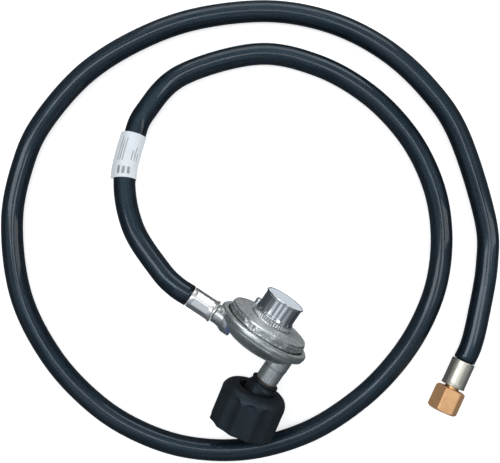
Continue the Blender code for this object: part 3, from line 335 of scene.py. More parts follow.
@dataclass(frozen=True)
class CastZinc(Finish):
    """Tumbled die casting: grey-green, grainy on its faces, smoother round its walls."""

    axis: Triple = (0.0, 0.0, 1.0)
    dark: Colour = (0.30, 0.325, 0.33)
    bright: Colour = (0.86, 0.88, 0.88)
    wall_metallic: float = 0.9
    wall_grain: float = 0.3
    grain_depth: float = 0.00011
    paint_at: Triple | None = None
    paint_r: float = 0.0036
    paint: Colour = (0.015, 0.06, 0.30)

    def material(self, effects: Effects) -> bpy.types.Material:
        """Build the casting's material.

        Args:
            effects: The shared node groups.

        Returns:
            The material.
        """
        graph, shader, where = self.start()
        clouds = graph.group(effects.mottle, {"Vector": where, "Scale": 170.0, "Contrast": 1.3})
        grain = graph.group(effects.grain, {"Vector": where, "Scale": 1300.0, "Pits": 0.6})
        wear = graph.group(effects.wear, {"Vector": where, "Scale": 400.0, "Strength": 0.9})
        base = graph.mix(clouds.outputs["Mask"], rgba(self.dark), rgba(self.colour))
        speckled = graph.mix(graph.math('MULTIPLY', grain.outputs["Mask"], 0.45), base, rgba(self.bright))
        colour = graph.mix(wear.outputs["Mask"], speckled, rgba(self.bright))
        roughness = graph.ramp(clouds.outputs["Mask"], 0.0, 1.0, self.roughness + 0.12, self.roughness)
        facing = graph.dot(graph.add("ShaderNodeNewGeometry").outputs["Normal"], self.axis)
        on_face = graph.ramp(graph.math('ABSOLUTE', facing), 0.75, 0.95)
        metal = graph.ramp(on_face, 0.0, 1.0, self.wall_metallic, self.metallic)
        height = graph.math('MULTIPLY', grain.outputs["Height"],
                            graph.ramp(on_face, 0.0, 1.0, self.wall_grain, 1.0))
        if self.paint_at is not None:
            offset = graph.add("ShaderNodeVectorMath", {0: where, 1: self.paint_at}, operation='DISTANCE')
            ragged = graph.math('MULTIPLY', graph.noise(where, 420.0, 4.0), 0.003)
            reach = graph.math('ADD', offset.outputs["Value"], ragged)
            dab = graph.ramp(reach, self.paint_r + 0.0016, self.paint_r + 0.0008)
            colour = graph.mix(graph.math('MULTIPLY', dab, 0.85), colour, rgba(self.paint))
            metal = graph.math('MULTIPLY', metal, graph.math('SUBTRACT', 1.0, dab))
        graph.feed(shader.inputs["Metallic"], metal)
        graph.feed(shader.inputs["Base Color"], colour)
        graph.feed(shader.inputs["Roughness"], roughness)
        self.bump(graph, shader, height, self.grain_depth)
        return graph.owner


@dataclass(frozen=True)
class TurnedMetal(Finish):
    """Plated or bare metal with lathe rings, slight dulling, bright edges, a painted shade that darkens it at
    grazing angles, and a pale face that is a painted reflection.
    """

    axis: Triple = (0.0, 0.0, 1.0)
    # Colour of the tarnish mottle, and of the painted shade at grazing angles.
    tarnish_and_rim_shade: Colour = (0.3, 0.3, 0.3)
    edge: Colour = (0.9, 0.9, 0.9)
    ring_depth: float = 0.00003
    tarnish_share: float = 0.5
    # Strength of a painted shade: the colour darkens towards the tarnish colour where the surface turns away
    # from the view.
    rim: float = 0.0
    # A pale, less metallic face across the axis from face_from up: a painted reflection of the bright sky on
    # the cap's top.
    face_from: float | None = None
    face: Colour = (0.86, 0.92, 0.98)
    face_metallic: float = 0.25
    face_roughness: float = 0.4

    def material(self, effects: Effects) -> bpy.types.Material:
        """Build the metal's material.

        Args:
            effects: The shared node groups.

        Returns:
            The material.
        """
        graph, shader, where = self.start()
        clouds = graph.group(effects.mottle, {"Vector": where, "Scale": 120.0, "Contrast": 1.2})
        rings = graph.group(effects.turning, {"Vector": where, "Axis": self.axis})
        wear = graph.group(effects.wear, {"Vector": where, "Scale": 300.0, "Strength": 0.8})
        dulled = graph.math('MULTIPLY', clouds.outputs["Mask"], self.tarnish_share)
        base = graph.mix(dulled, rgba(self.colour), rgba(self.tarnish_and_rim_shade))
        colour = graph.mix(wear.outputs["Mask"], base, rgba(self.edge))
        roughness = graph.ramp(clouds.outputs["Mask"], 0.0, 1.0, self.roughness, self.roughness + 0.1)
        # Painted shade: dark edges at grazing angles stand in for the dark reflections round the silhouette.
        if self.rim:
            grazing = graph.add("ShaderNodeLayerWeight", {"Blend": 0.5}).outputs["Facing"]
            shade = graph.math('MULTIPLY', graph.math('POWER', grazing, 2.2), self.rim)
            colour = graph.mix(shade, colour, rgba(self.tarnish_and_rim_shade))
        # Painted reflection: the face is made pale and hardly metallic so that it shows white, as the sky's
        # reflection would.
        if self.face_from is not None:
            above = graph.math('GREATER_THAN', graph.dot(where, self.axis), self.face_from)
            facing = graph.dot(graph.add("ShaderNodeNewGeometry").outputs["Normal"], self.axis)
            painted_reflection_face = graph.math('MULTIPLY', above, graph.math('GREATER_THAN', facing, 0.9))
            colour = graph.mix(painted_reflection_face, colour, rgba(self.face))
            metal = graph.ramp(painted_reflection_face, 0.0, 1.0, self.metallic, self.face_metallic)
            graph.feed(shader.inputs["Metallic"], metal)
            roughness = graph.ramp(painted_reflection_face, 0.0, 1.0, roughness, self.face_roughness)
        graph.feed(shader.inputs["Base Color"], colour)
        graph.feed(shader.inputs["Roughness"], roughness)
        self.bump(graph, shader, rings.outputs["Height"], self.ring_depth)
        return graph.owner


@dataclass(frozen=True)
class MouldedPlastic(Finish):
    """Black moulding with a satin spark texture, rubbed edges and a little dust."""

    rubbed: Colour = (0.06, 0.062, 0.066)
    tint: Colour = (0.6, 0.8, 1.0)
    lint: Colour = (0.35, 0.36, 0.37)
    grain_depth: float = 0.00005
    dust_share: float = 0.25

    def material(self, effects: Effects) -> bpy.types.Material:
        """Build the moulding's material.

        Args:
            effects: The shared node groups.

        Returns:
            The material.
        """
        graph, shader, where = self.start()
        shader.inputs["Specular Tint"].default_value = rgba(self.tint)
        clouds = graph.group(effects.mottle, {"Vector": where, "Scale": 90.0, "Contrast": 1.0})
        grain = graph.group(effects.grain, {"Vector": where, "Scale": 1500.0, "Pits": 0.4})
        wear = graph.group(effects.wear, {"Vector": where, "Scale": 350.0, "Strength": 0.7})
        dust = graph.group(effects.dust, {"Vector": where, "Scale": 420.0, "Coverage": 0.05})
        paler = graph.math('MULTIPLY', clouds.outputs["Mask"], 0.5)
        base = graph.mix(paler, rgba(self.colour), rgba(self.rubbed))
        worn = graph.mix(wear.outputs["Mask"], base, rgba(self.rubbed))
        specks = graph.math('MULTIPLY', dust.outputs["Mask"], self.dust_share)
        graph.feed(shader.inputs["Base Color"], graph.mix(specks, worn, rgba(self.lint)))
        roughness = graph.ramp(clouds.outputs["Mask"], 0.0, 1.0, self.roughness - 0.06, self.roughness + 0.08)
        graph.feed(shader.inputs["Roughness"], roughness)
        self.bump(graph, shader, grain.outputs["Height"], self.grain_depth)
        return graph.owner


@dataclass(frozen=True)
class HoseRubber(Finish):
    """Glossy extruded cover with a faint diagonal imprint of the cloth it was cured in, its raised threads
    and cloudy patches lightened by a painted bluish sheen.
    """

    # Bluish colour of the painted sheen on the raised imprint and cloudy patches.
    painted_sheen: Colour = (0.010, 0.018, 0.026)
    tint: Colour = (0.42, 0.70, 0.95)
    lint: Colour = (0.3, 0.32, 0.34)
    coat: float = 0.5
    threads_round: float = 22.0
    thread_pitch: float = 0.0021
    imprint_depth: float = 0.00012

    def material(self, effects: Effects) -> bpy.types.Material:
        """Build the hose's material, read along the tube by its UV map in turns and metres.

        Args:
            effects: The shared node groups.

        Returns:
            The material.
        """
        graph, shader, where = self.start()
        shader.inputs["Specular Tint"].default_value = rgba(self.tint)
        shader.inputs["Coat Weight"].default_value = self.coat
        shader.inputs["Coat Roughness"].default_value = 0.06
        along = graph.add("ShaderNodeSeparateXYZ", {0: graph.add("ShaderNodeTexCoord").outputs["UV"]})
        turns = graph.math('MULTIPLY', along.outputs["X"], self.threads_round)
        runs = graph.math('DIVIDE', along.outputs["Y"], self.thread_pitch)
        waves = [graph.math('SINE', graph.math('MULTIPLY', lean, FULL_TURN))
                 for lean in (graph.math('ADD', turns, runs), graph.math('SUBTRACT', turns, runs))]
        weave = graph.math('MAXIMUM', *waves)
        patches = graph.group(effects.mottle, {"Vector": where, "Scale": 22.0, "Contrast": 1.6})
        clouds = graph.group(effects.mottle, {"Vector": where, "Scale": 130.0, "Contrast": 1.0})
        grain = graph.group(effects.grain, {"Vector": where, "Scale": 1100.0, "Pits": 0.3})
        dust = graph.group(effects.dust, {"Vector": where, "Scale": 260.0, "Coverage": 0.04})
        pressed = graph.math('MULTIPLY', weave, graph.ramp(patches.outputs["Mask"], 0.2, 0.8, 0.15, 1.0))
        raised = graph.math('MULTIPLY', graph.ramp(pressed, 0.2, 0.9), 0.55)
        # Painted sheen: cloudy patches and the raised cloth imprint are lightened towards a bluish colour
        # that stands for light on the rubber.
        base = graph.mix(graph.math('MAXIMUM', graph.math('MULTIPLY', clouds.outputs["Mask"], 0.4), raised),
                         rgba(self.colour), rgba(self.painted_sheen))
        specks = graph.math('MULTIPLY', dust.outputs["Mask"], 0.2)
        graph.feed(shader.inputs["Base Color"], graph.mix(specks, base, rgba(self.lint)))
        roughness = graph.ramp(clouds.outputs["Mask"], 0.0, 1.0, self.roughness - 0.05, self.roughness + 0.08)
        graph.feed(shader.inputs["Roughness"], roughness)
        coarse = self.bump(graph, shader, pressed, self.imprint_depth)
        self.bump(graph, shader, grain.outputs["Height"], self.imprint_depth / 3, coarse)
        return graph.owner


@dataclass(frozen=True)
class MattRubber(Finish):
    """Moulded rubber of the diaphragm and the seat, and the hose's squeezed ends."""

    grain_depth: float = 0.00005

    def material(self, effects: Effects) -> bpy.types.Material:
        """Build the rubber's material.

        Args:
            effects: The shared node groups.

        Returns:
            The material.
        """
        graph, shader, where = self.start()
        grain = graph.group(effects.grain, {"Vector": where, "Scale": 900.0, "Pits": 0.5})
        lighter = tuple(value * 1.8 for value in self.colour)
        speckled = graph.mix(grain.outputs["Mask"], rgba(self.colour), rgba(lighter))
        graph.feed(shader.inputs["Base Color"], speckled)
        shader.inputs["Roughness"].default_value = self.roughness
        self.bump(graph, shader, grain.outputs["Height"], self.grain_depth)
        return graph.owner


@dataclass(frozen=True)
class LabelFilm(Finish):
    """White film with plain grey bars across it and a faint crinkle."""

    ink: Colour = (0.16, 0.17, 0.18)
    shaded: Colour = (0.62, 0.66, 0.70)
    crinkle_depth: float = 0.0001
    bars: tuple[tuple[float, float, float, float], ...] = (
        (0.16, 0.20, 0.08, 0.24), (0.23, 0.27, 0.08, 0.24), (0.30, 0.34, 0.08, 0.24),
        (0.12, 0.135, 0.36, 0.88), (0.16, 0.175, 0.36, 0.80), (0.20, 0.212, 0.36, 0.86),
        (0.32, 0.332, 0.40, 0.62), (0.36, 0.372, 0.40, 0.70), (0.40, 0.412, 0.40, 0.58),
        (0.62, 0.70, 0.10, 0.44), (0.76, 0.785, 0.10, 0.80), (0.82, 0.845, 0.10, 0.66))

    def material(self, effects: Effects) -> bpy.types.Material:
        """Build the film's material; its bars are boxes in the UV map.

        Args:
            effects: The shared node groups.

        Returns:
            The material.
        """
        graph, shader, where = self.start()
        place = graph.add("ShaderNodeSeparateXYZ", {0: graph.add("ShaderNodeTexCoord").outputs["UV"]})
        printed: object = 0.0
        for left, right, low, high in self.bars:
            sides = [graph.math('GREATER_THAN', place.outputs["X"], left),
                     graph.math('LESS_THAN', place.outputs["X"], right),
                     graph.math('GREATER_THAN', place.outputs["Y"], low),
                     graph.math('LESS_THAN', place.outputs["Y"], high)]
            across = graph.math('MULTIPLY', sides[0], sides[1])
            inside = graph.math('MULTIPLY', across, graph.math('MULTIPLY', sides[2], sides[3]))
            printed = graph.math('MAXIMUM', printed, inside)
        patchy = graph.ramp(graph.noise(where, 700.0, 3.0), 0.3, 0.6, 0.45, 0.85)
        faded = graph.math('MULTIPLY', printed, patchy)
        clouds = graph.group(effects.mottle, {"Vector": where, "Scale": 150.0, "Contrast": 1.0})
        paper = graph.mix(graph.math('MULTIPLY', clouds.outputs["Mask"], 0.3), rgba(self.colour),
                          rgba(self.shaded))
        graph.feed(shader.inputs["Base Color"], graph.mix(faded, paper, rgba(self.ink)))
        graph.feed(shader.inputs["Roughness"], graph.ramp(clouds.outputs["Mask"], 0.0, 1.0, self.roughness,
                                                          self.roughness + 0.15))
        self.bump(graph, shader, clouds.outputs["Mask"], self.crinkle_depth)
        return graph.owner


class Palette:
    """The finishes of this object, each made into a material once."""

    # Height of the cap's top face, where its painted reflection starts.
    cap_face: float = 25.0
    paint_spot: Triple = (-20.0, -9.0, -10.8)

    def __init__(self, axes: "Axes") -> None:
        """State every finish; the turned ones need their axes.

        Args:
            axes: Where the turned pieces' axes lie.
        """
        self.effects = Effects()
        self.made: dict[str, bpy.types.Material] = {}
        regulator, outlet, fitting = (tuple(place.to_3x3().col[2]) for place in
                                      (axes.regulator, axes.outlet, axes.fitting))
        cap_face = axes.regulator.translation.dot(Vector(regulator)) + self.cap_face * MM
        paint_at = tuple(axes.regulator @ (Vector(self.paint_spot) * MM))
        self.zinc = CastZinc("bonnet_zinc", Slot.ZINC, (0.66, 0.67, 0.68), roughness=0.22, metallic=0.5,
                             axis=regulator)
        self.body_zinc = CastZinc("body_zinc", Slot.ZINC, (0.58, 0.62, 0.62), roughness=0.24, metallic=0.5,
                                  axis=regulator, paint_at=paint_at)
        # Where rim is set, the metal carries a painted shade at grazing angles; the cap's face_from marks its
        # painted reflection.
        self.chrome = TurnedMetal("cap_chrome", Slot.CHROME, (0.82, 0.84, 0.86), roughness=0.07, metallic=1.0,
                                  axis=regulator, tarnish_and_rim_shade=(0.10, 0.11, 0.13), edge=(0.95, 0.95, 0.95),
                                  ring_depth=0.000004, tarnish_share=0.06, rim=1.0, face_from=cap_face)
        self.brass = TurnedMetal("turned_brass", Slot.BRASS, (0.80, 0.47, 0.23), roughness=0.3, metallic=1.0,
                                 axis=regulator, tarnish_and_rim_shade=(0.52, 0.27, 0.11), edge=(0.95, 0.68, 0.42))
        self.nut_brass = TurnedMetal("swivel_brass", Slot.BRASS, (0.90, 0.52, 0.25), roughness=0.38,
                                     metallic=0.6, axis=fitting, tarnish_and_rim_shade=(0.60, 0.29, 0.12),
                                     edge=(0.95, 0.70, 0.45), ring_depth=0.00002, tarnish_share=0.45, rim=0.5)
        self.steel = TurnedMetal("plated_steel", Slot.STEEL, (0.55, 0.56, 0.57), roughness=0.28, metallic=1.0,
                                 axis=regulator)
        self.spring = TurnedMetal("spring_wire", Slot.SPRING, (0.34, 0.35, 0.37), roughness=0.32,
                                  metallic=1.0, axis=regulator, tarnish_and_rim_shade=(0.2, 0.2, 0.21),
                                  edge=(0.6, 0.6, 0.6))
        self.ferrule = TurnedMetal("ferrule_nickel", Slot.FERRULE, (0.86, 0.87, 0.87), roughness=0.28,
                                   metallic=0.9, axis=outlet, tarnish_and_rim_shade=(0.16, 0.17, 0.17),
                                   edge=(0.9, 0.9, 0.9), ring_depth=0.00003, tarnish_share=0.12, rim=0.8)
        self.warm_ferrule = TurnedMetal("ferrule_nickel_warm", Slot.FERRULE, (0.72, 0.69, 0.60),
                                        roughness=0.27, metallic=0.9, axis=fitting,
                                        tarnish_and_rim_shade=(0.13, 0.125, 0.105), edge=(0.88, 0.85, 0.78),
                                        ring_depth=0.00003, tarnish_share=0.2, rim=0.9)
        self.nut = MouldedPlastic("nut_moulding", Slot.NUT, (0.008, 0.010, 0.012), roughness=0.42,
                                  rubbed=(0.018, 0.022, 0.026))
        self.bushing = MouldedPlastic("bushing_moulding", Slot.BUSHING, (0.006, 0.007, 0.008), roughness=0.34,
                                      rubbed=(0.018, 0.021, 0.024))
        self.hose = HoseRubber("hose_cover", Slot.HOSE, (0.002, 0.004, 0.007), roughness=0.27)
        self.inner_rubber = MattRubber("moulded_rubber", Slot.INNER_RUBBER, (0.02, 0.02, 0.021),
                                       roughness=0.7)
        self.label = LabelFilm("printed_film", Slot.LABEL, (0.90, 0.94, 0.97), roughness=0.28)

    def material(self, finish: Finish) -> bpy.types.Material:
        """The material of a finish, made when first asked for.

        Args:
            finish: The finish.

        Returns:
            Its material.
        """
        if finish.name not in self.made:
            self.made[finish.name] = finish.material(self.effects)
        return self.made[finish.name]


# --- mesh helpers ----------------------------------------------------------------------------
def soften(outline: Outline, radius: float, closed: bool, arc: int = 3) -> Outline:
    """Round the corners of an outline.

    Args:
        outline: Its (radius, height) corners.
        radius: The fillet, cut down where an edge is too short for it.
        closed: Whether the last corner joins the first.
        arc: Segments in each fillet.

    Returns:
        The outline with an arc at each corner; open ends stay as they are.
    """
    points = [Vector(corner) for corner in outline]
    count = len(points)
    made: Outline = []
    for i, corner in enumerate(points):
        if not closed and i in (0, count - 1):
            made.append(tuple(corner))
            continue
        before, after = points[i - 1] - corner, points[(i + 1) % count] - corner
        turn = before.angle(after, math.pi)
        if turn > math.radians(168):
            made.append(tuple(corner))
            continue
        reach = min(radius / math.tan(turn / 2), before.length * 0.45, after.length * 0.45)
        first, last = corner + before.normalized() * reach, corner + after.normalized() * reach
        for step in range(arc + 1):
            t = step / arc
            point = first * (1 - t) ** 2 + corner * 2 * t * (1 - t) + last * t ** 2
            made.append(tuple(point))
    return made


def finish_mesh(bm: bmesh.types.BMesh, name: str, sharp: float = 40.0) -> bpy.types.Mesh:
    """Turn a bmesh into a mesh with outward faces, smooth where it is round.

    Args:
        bm: The bmesh, which is used up.
        name: The mesh's name.
        sharp: Edges that bend more than this many degrees stay crisp.

    Returns:
        The mesh.
    """
    bmesh.ops.recalc_face_normals(bm, faces=bm.faces)
    mesh = bpy.data.meshes.new(name)
    bm.to_mesh(mesh)
    bm.free()
    mesh.shade_smooth()
    mesh.set_sharp_from_angle(angle=math.radians(sharp))
    return mesh


def lathe(name: str, outline: Outline, steps: int, reshape: Reshape | None = None,
          sharp: float = 40.0) -> bpy.types.Mesh:
    """Turn an outline about Z.

    Args:
        name: The mesh's name.
        outline: (radius, height) points; where they miss the axis the piece is a ring.
        steps: Facets round it.
        reshape: The radius of a point from its outline radius, angle and height.
        sharp: Edges that bend more than this many degrees stay crisp.

    Returns:
        The closed mesh, in metres.
    """
    bm = bmesh.new()
    rings: list[list[bmesh.types.BMVert]] = []
    for radius, height in outline:
        if radius <= 1e-6:
            rings.append([bm.verts.new((0.0, 0.0, height * MM))])
            continue
        ring = []
        for step in range(steps):
            angle = FULL_TURN * step / steps
            out = reshape(radius, angle, height) if reshape else radius
            ring.append(bm.verts.new((out * math.cos(angle) * MM, out * math.sin(angle) * MM, height * MM)))
        rings.append(ring)
    pairs = list(zip(rings, rings[1:]))
    if len(rings[0]) > 1:
        pairs.append((rings[-1], rings[0]))
    for low, high in pairs:
        for step in range(steps):
            after = (step + 1) % steps
            if len(low) == 1:
                bm.faces.new((low[0], high[step], high[after]))
            elif len(high) == 1:
                bm.faces.new((low[step], low[after], high[0]))
            else:
                bm.faces.new((low[step], low[after], high[after], high[step]))
    return finish_mesh(bm, name, sharp)


def hexagon_radius(across_flats: float, angle: float) -> float:
    """Radius of a hexagon's wall at an angle from one of its corners."""
    return across_flats / 2 / math.cos(angle % (math.pi / 3) - math.pi / 6)


def thread(angle: float, height: float, pitch: float, depth: float) -> float:
    """Depth of a rounded helical groove at an angle and a height."""
    return depth * (0.5 + 0.5 * math.cos(FULL_TURN * height / pitch - angle))


def levels(start: float, end: float, step: float) -> list[float]:
    """Heights from start to end, both included, about a step apart."""
    count = max(1, round(abs(end - start) / step))
    return [start + (end - start) * i / count for i in range(count + 1)]


def on_wall(centre: np.ndarray, side: np.ndarray, up: np.ndarray, radius: float,
            angle: float) -> np.ndarray:
    """A point of a round wall at an angle from its side direction, in metres."""
    return (centre + radius * (math.cos(angle) * side + math.sin(angle) * up)) * MM


class Workshop:
    """Makes pieces of the object and says what each stands for."""

    def __init__(self, palette: Palette) -> None:
        """Keep the finishes."""
        self.palette = palette

    def shape(self, mesh: bpy.types.Mesh, place: Matrix) -> bpy.types.Object:
        """An object with this mesh, its placement worked into its vertices.

        Args:
            mesh: The mesh, in its own frame.
            place: Where that frame lies.

        Returns:
            The object.
        """
        mesh.transform(place)
        made = bpy.data.objects.new(mesh.name, mesh)
        bpy.context.scene.collection.objects.link(made)
        return made

    def combine(self, target: bpy.types.Object, tool: bpy.types.Object, operation: str,
                sharp: float = 40.0) -> None:
        """Join the tool to the target or cut it away, and drop the tool.

        Args:
            target: The piece that stays.
            tool: The piece that is used up.
            operation: UNION or DIFFERENCE.
            sharp: Edges that bend more than this many degrees stay crisp.
        """
        modifier = target.modifiers.new("combine", 'BOOLEAN')
        modifier.operation = operation
        modifier.object = tool
        modifier.solver = 'EXACT'
        bpy.context.view_layer.update()
        seen = target.evaluated_get(bpy.context.evaluated_depsgraph_get())
        mesh = bpy.data.meshes.new_from_object(seen)
        target.modifiers.clear()
        old = target.data
        mesh.name = old.name
        target.data = mesh
        mesh.shade_smooth()
        mesh.set_sharp_from_angle(angle=math.radians(sharp))
        bpy.data.objects.remove(tool, do_unlink=True)
        bpy.data.meshes.remove(old)

    def finish(self, piece: bpy.types.Object, finish: Finish, body: str, *nodes: str) -> bpy.types.Object:
        """Give a new piece its material and body, and hide the CAD nodes it stands for.

        Args:
            piece: The new piece.
            finish: Its finish.
            body: The body that it rides on.
            nodes: The CAD nodes that it replaces.

        Returns:
            The piece.
        """
        piece.data.materials.clear()
        piece.data.materials.append(self.palette.material(finish))
        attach(piece, body)
        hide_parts(*nodes)
        log.info("%s rides on %s and stands for %s", piece.name, body, ", ".join(nodes))
        return piece

    def dress(self, node: str, finish: Finish) -> None:
        """Give a CAD node that stays its material.

        Args:
            node: The node's name.
            finish: Its finish.
        """
        target = frame["nodes"][node]
        if not target.material_slots:
            target.data.materials.append(None)
        for holder in target.material_slots:
            holder.material = self.palette.material(finish)
        log.info("%s is carried over in %s", node, finish.name)


# --- the model's own axes ----------------------------------------------------------------------
def joint(name: str) -> dict:
    """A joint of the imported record."""
    return next(item for item in frame["joints"] if item["name"] == name)


def axis_frame(origin: Sequence[float], direction: Sequence[float]) -> Matrix:
    """A frame with Z along a direction, X level and Y downwards.

    Args:
        origin: Its origin, in metres.
        direction: The way that Z points.

    Returns:
        The 4x4 placement.
    """
    z_axis = Vector(direction).normalized()
    x_axis = z_axis.cross(Vector((0, 0, 1))).normalized()
    y_axis = z_axis.cross(x_axis)
    turn = Matrix((x_axis, y_axis, z_axis)).transposed().to_4x4()
    return Matrix.Translation(Vector(origin)) @ turn


class Axes:
    """Placements of the regulator, inlet, nut, outlet and fitting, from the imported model."""

    def __init__(self) -> None:
        """Read them from the joints and from where the ferrule lies."""
        turn, spin, swivel = joint("screw_turn"), joint("coupling_spin"), joint("swivel_spin")
        self.regulator = axis_frame(turn["pos_m"], turn["axis"])
        inlet_at = Vector((spin["pos_m"][0], *turn["pos_m"][1:]))
        self.inlet = axis_frame(inlet_at, turn["axis"])
        self.nut = axis_frame(spin["pos_m"], spin["axis"])
        self.fitting = axis_frame(swivel["pos_m"], swivel["axis"])
        low, high = (Vector(corner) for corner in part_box("ferrule_regulator"))
        middle = (low + high) / 2
        outlet_at = Vector((turn["pos_m"][0], middle.y, middle.z))
        up = self.regulator.to_3x3() @ Vector((0, 0, 1))
        down = self.regulator.to_3x3() @ Vector((0, 1, 0))
        turned = Matrix((up, down, up.cross(down))).transposed().to_4x4()
        self.outlet = Matrix.Translation(outlet_at) @ turned


# --- regulator body ---------------------------------------------------------------------------------
@dataclass
class RegulatorBody:
    """The two zinc castings."""

    flange_r: float = 32.8
    flange_top: float = 1.0
    flange_t: float = 5.5
    recess_r: float = 29.1
    seat_z: float = -2.0
    cavity_r: float = 24.5
    cavity_z: float = -9.6
    bowl_depth: float = 12.0
    stem_r: float = 7.7
    stem_boss_r: float = 8.0
    stem_boss_end: float = 17.0
    stem_end: float = 28.6
    thread_r: float = 6.4
    thread_end: float = 17.8
    passage_r: float = 1.7
    passage_top: float = -11.5
    orifice_r: float = 3.5
    neck_r: float = 6.5
    neck_root_r: float = 8.6
    neck_end: float = 34.2
    neck_bore_r: float = 4.6
    neck_bore_depth: float = 9.0
    neck_passage_r: float = 2.4
    bonnet_r: float = 28.7
    bonnet_z: float = -0.6
    bonnet_top: float = 7.3
    undercut: float = 1.4
    undercut_top: float = 2.3
    tier_z: float = 5.4
    tier_step: float = 0.9
    roof_under: float = 5.2
    collar_r: float = 14.4
    collar_top: float = 11.2
    knurls: int = 48
    knurl_depth: float = 0.5
    tower_r: float = 11.9
    tower_bore_r: float = 9.6
    tower_top: float = 22.0
    notches: int = 4
    notch_angle: float = -21.0
    notch_width: float = 3.2
    notch_depth: float = 1.2
    flats: int = 16
    vent_at: tuple[float, float] = (-13.0, 15.0)
    vent_r: float = 2.6
    vent_top: float = 13.0
    vent_bore_r: float = 1.2

    def cutters(self, shop: Workshop, axes: Axes) -> list[bpy.types.Object]:
        """The hollow of the bowl and the bores of the inlet and outlet.

        Args:
            shop: Makes the shapes.
            axes: Where they lie.

        Returns:
            The tools to cut with.
        """
        cavity = lathe("cavity", [
            (0.0, self.flange_top + 1.0), (self.recess_r, self.flange_top + 1.0),
            (self.recess_r, self.seat_z), (self.cavity_r, self.seat_z), (self.cavity_r, self.cavity_z + 3.0),
            (self.cavity_r - 3.0, self.cavity_z), (0.0, self.cavity_z)], 128)
        step, inmost = self.neck_end - self.neck_bore_depth, self.cavity_r - 10.0
        neck = lathe("outlet_bore", [
            (0.0, self.neck_end + 1.0), (self.neck_bore_r, self.neck_end + 1.0), (self.neck_bore_r, step),
            (self.neck_passage_r, step), (self.neck_passage_r, inmost), (0.0, inmost)], 48)
        inlet = lathe("inlet_bore", [
            (0.0, self.cavity_z + 1.0), (self.orifice_r, self.cavity_z + 1.0),
            (self.orifice_r, self.passage_top), (self.passage_r, self.passage_top),
            (self.passage_r, -self.thread_end), (self.thread_r, -self.thread_end),
            (self.thread_r, -self.stem_end - 1.0), (0.0, -self.stem_end - 1.0)], 48)
        return [shop.shape(cavity, axes.regulator), shop.shape(neck, axes.outlet),
                shop.shape(inlet, axes.inlet)]

    def lower_body(self, shop: Workshop, axes: Axes) -> bpy.types.Object:
        """Bowl with its rolled rim, inlet stem and outlet neck.

        Args:
            shop: Makes the shapes.
            axes: Where they lie.

        Returns:
            The casting.
        """
        under = self.flange_top - self.flange_t
        middle = self.flange_top - self.flange_t / 2
        bowl = lathe("lower_body_casting", soften([
            (0.0, self.flange_top), (self.recess_r + 0.8, self.flange_top),
            (self.flange_r - 1.0, self.flange_top), (self.flange_r, self.flange_top - 1.1),
            (self.flange_r, middle), (self.flange_r - 0.5, middle - 0.6),
            (self.flange_r - 0.5, under + 0.6), (self.flange_r - 2.2, under),
            (self.cavity_r + 2.4, -self.bowl_depth * 0.6), (self.cavity_r, -self.bowl_depth * 0.82),
            (self.cavity_r - 3.4, -self.bowl_depth), (0.0, -self.bowl_depth)], 0.7, False), 160)
        body = shop.shape(bowl, axes.regulator)
        stem = lathe("stem", soften([
            (0.0, -6.0), (self.stem_boss_r, -6.0), (self.stem_boss_r, -self.stem_boss_end + 0.6),
            (self.stem_r, -self.stem_boss_end - 0.6), (self.stem_r, -self.stem_end + 0.6),
            (self.stem_r - 0.6, -self.stem_end), (0.0, -self.stem_end)], 0.5, False), 72)
        root = self.cavity_r - 6.0
        neck = lathe("neck", soften([
            (0.0, self.neck_end), (self.neck_r - 0.5, self.neck_end), (self.neck_r, self.neck_end - 0.5),
            (self.neck_r, self.neck_end - 4.0), (self.neck_r + 0.5, self.neck_end - 6.5),
            (self.neck_root_r, self.neck_end - 9.5), (self.neck_root_r, root), (0.0, root)], 1.0, False), 72)
        shop.combine(body, shop.shape(stem, axes.inlet), 'UNION')
        shop.combine(body, shop.shape(neck, axes.outlet), 'UNION')
        for cutter in self.cutters(shop, axes):
            shop.combine(body, cutter, 'DIFFERENCE')
        return body

    def bonnet_wall(self, radius: float, angle: float, height: float) -> float:
        """Notches, pressed flats and the collar's knurling, as a change of radius.

        Args:
            radius: The outline's radius.
            angle: The angle round the axis.
            height: The height over the flange plane.

        Returns:
            The changed radius.
        """
        if radius > self.bonnet_r - 0.3 and height > self.undercut_top:
            quarter = FULL_TURN / self.notches
            off = (angle - math.radians(self.notch_angle) + quarter / 2) % quarter - quarter / 2
            dent = max(0.0, 1.0 - (abs(off) * self.bonnet_r / (self.notch_width / 2)) ** 4)
            side = FULL_TURN / self.flats
            lean = (angle + side / 2) % side - side / 2
            pressed = radius * (1.0 - math.cos(side / 2) / math.cos(lean))
            return radius - max(self.notch_depth * min(1.0, dent * 2.0), pressed)
        on_collar = self.bonnet_top + 1.3 < height < self.collar_top and abs(radius - self.collar_r) < 0.3
        if on_collar:
            return radius - self.knurl_depth * (0.5 + 0.5 * math.cos(self.knurls * angle))
        return radius

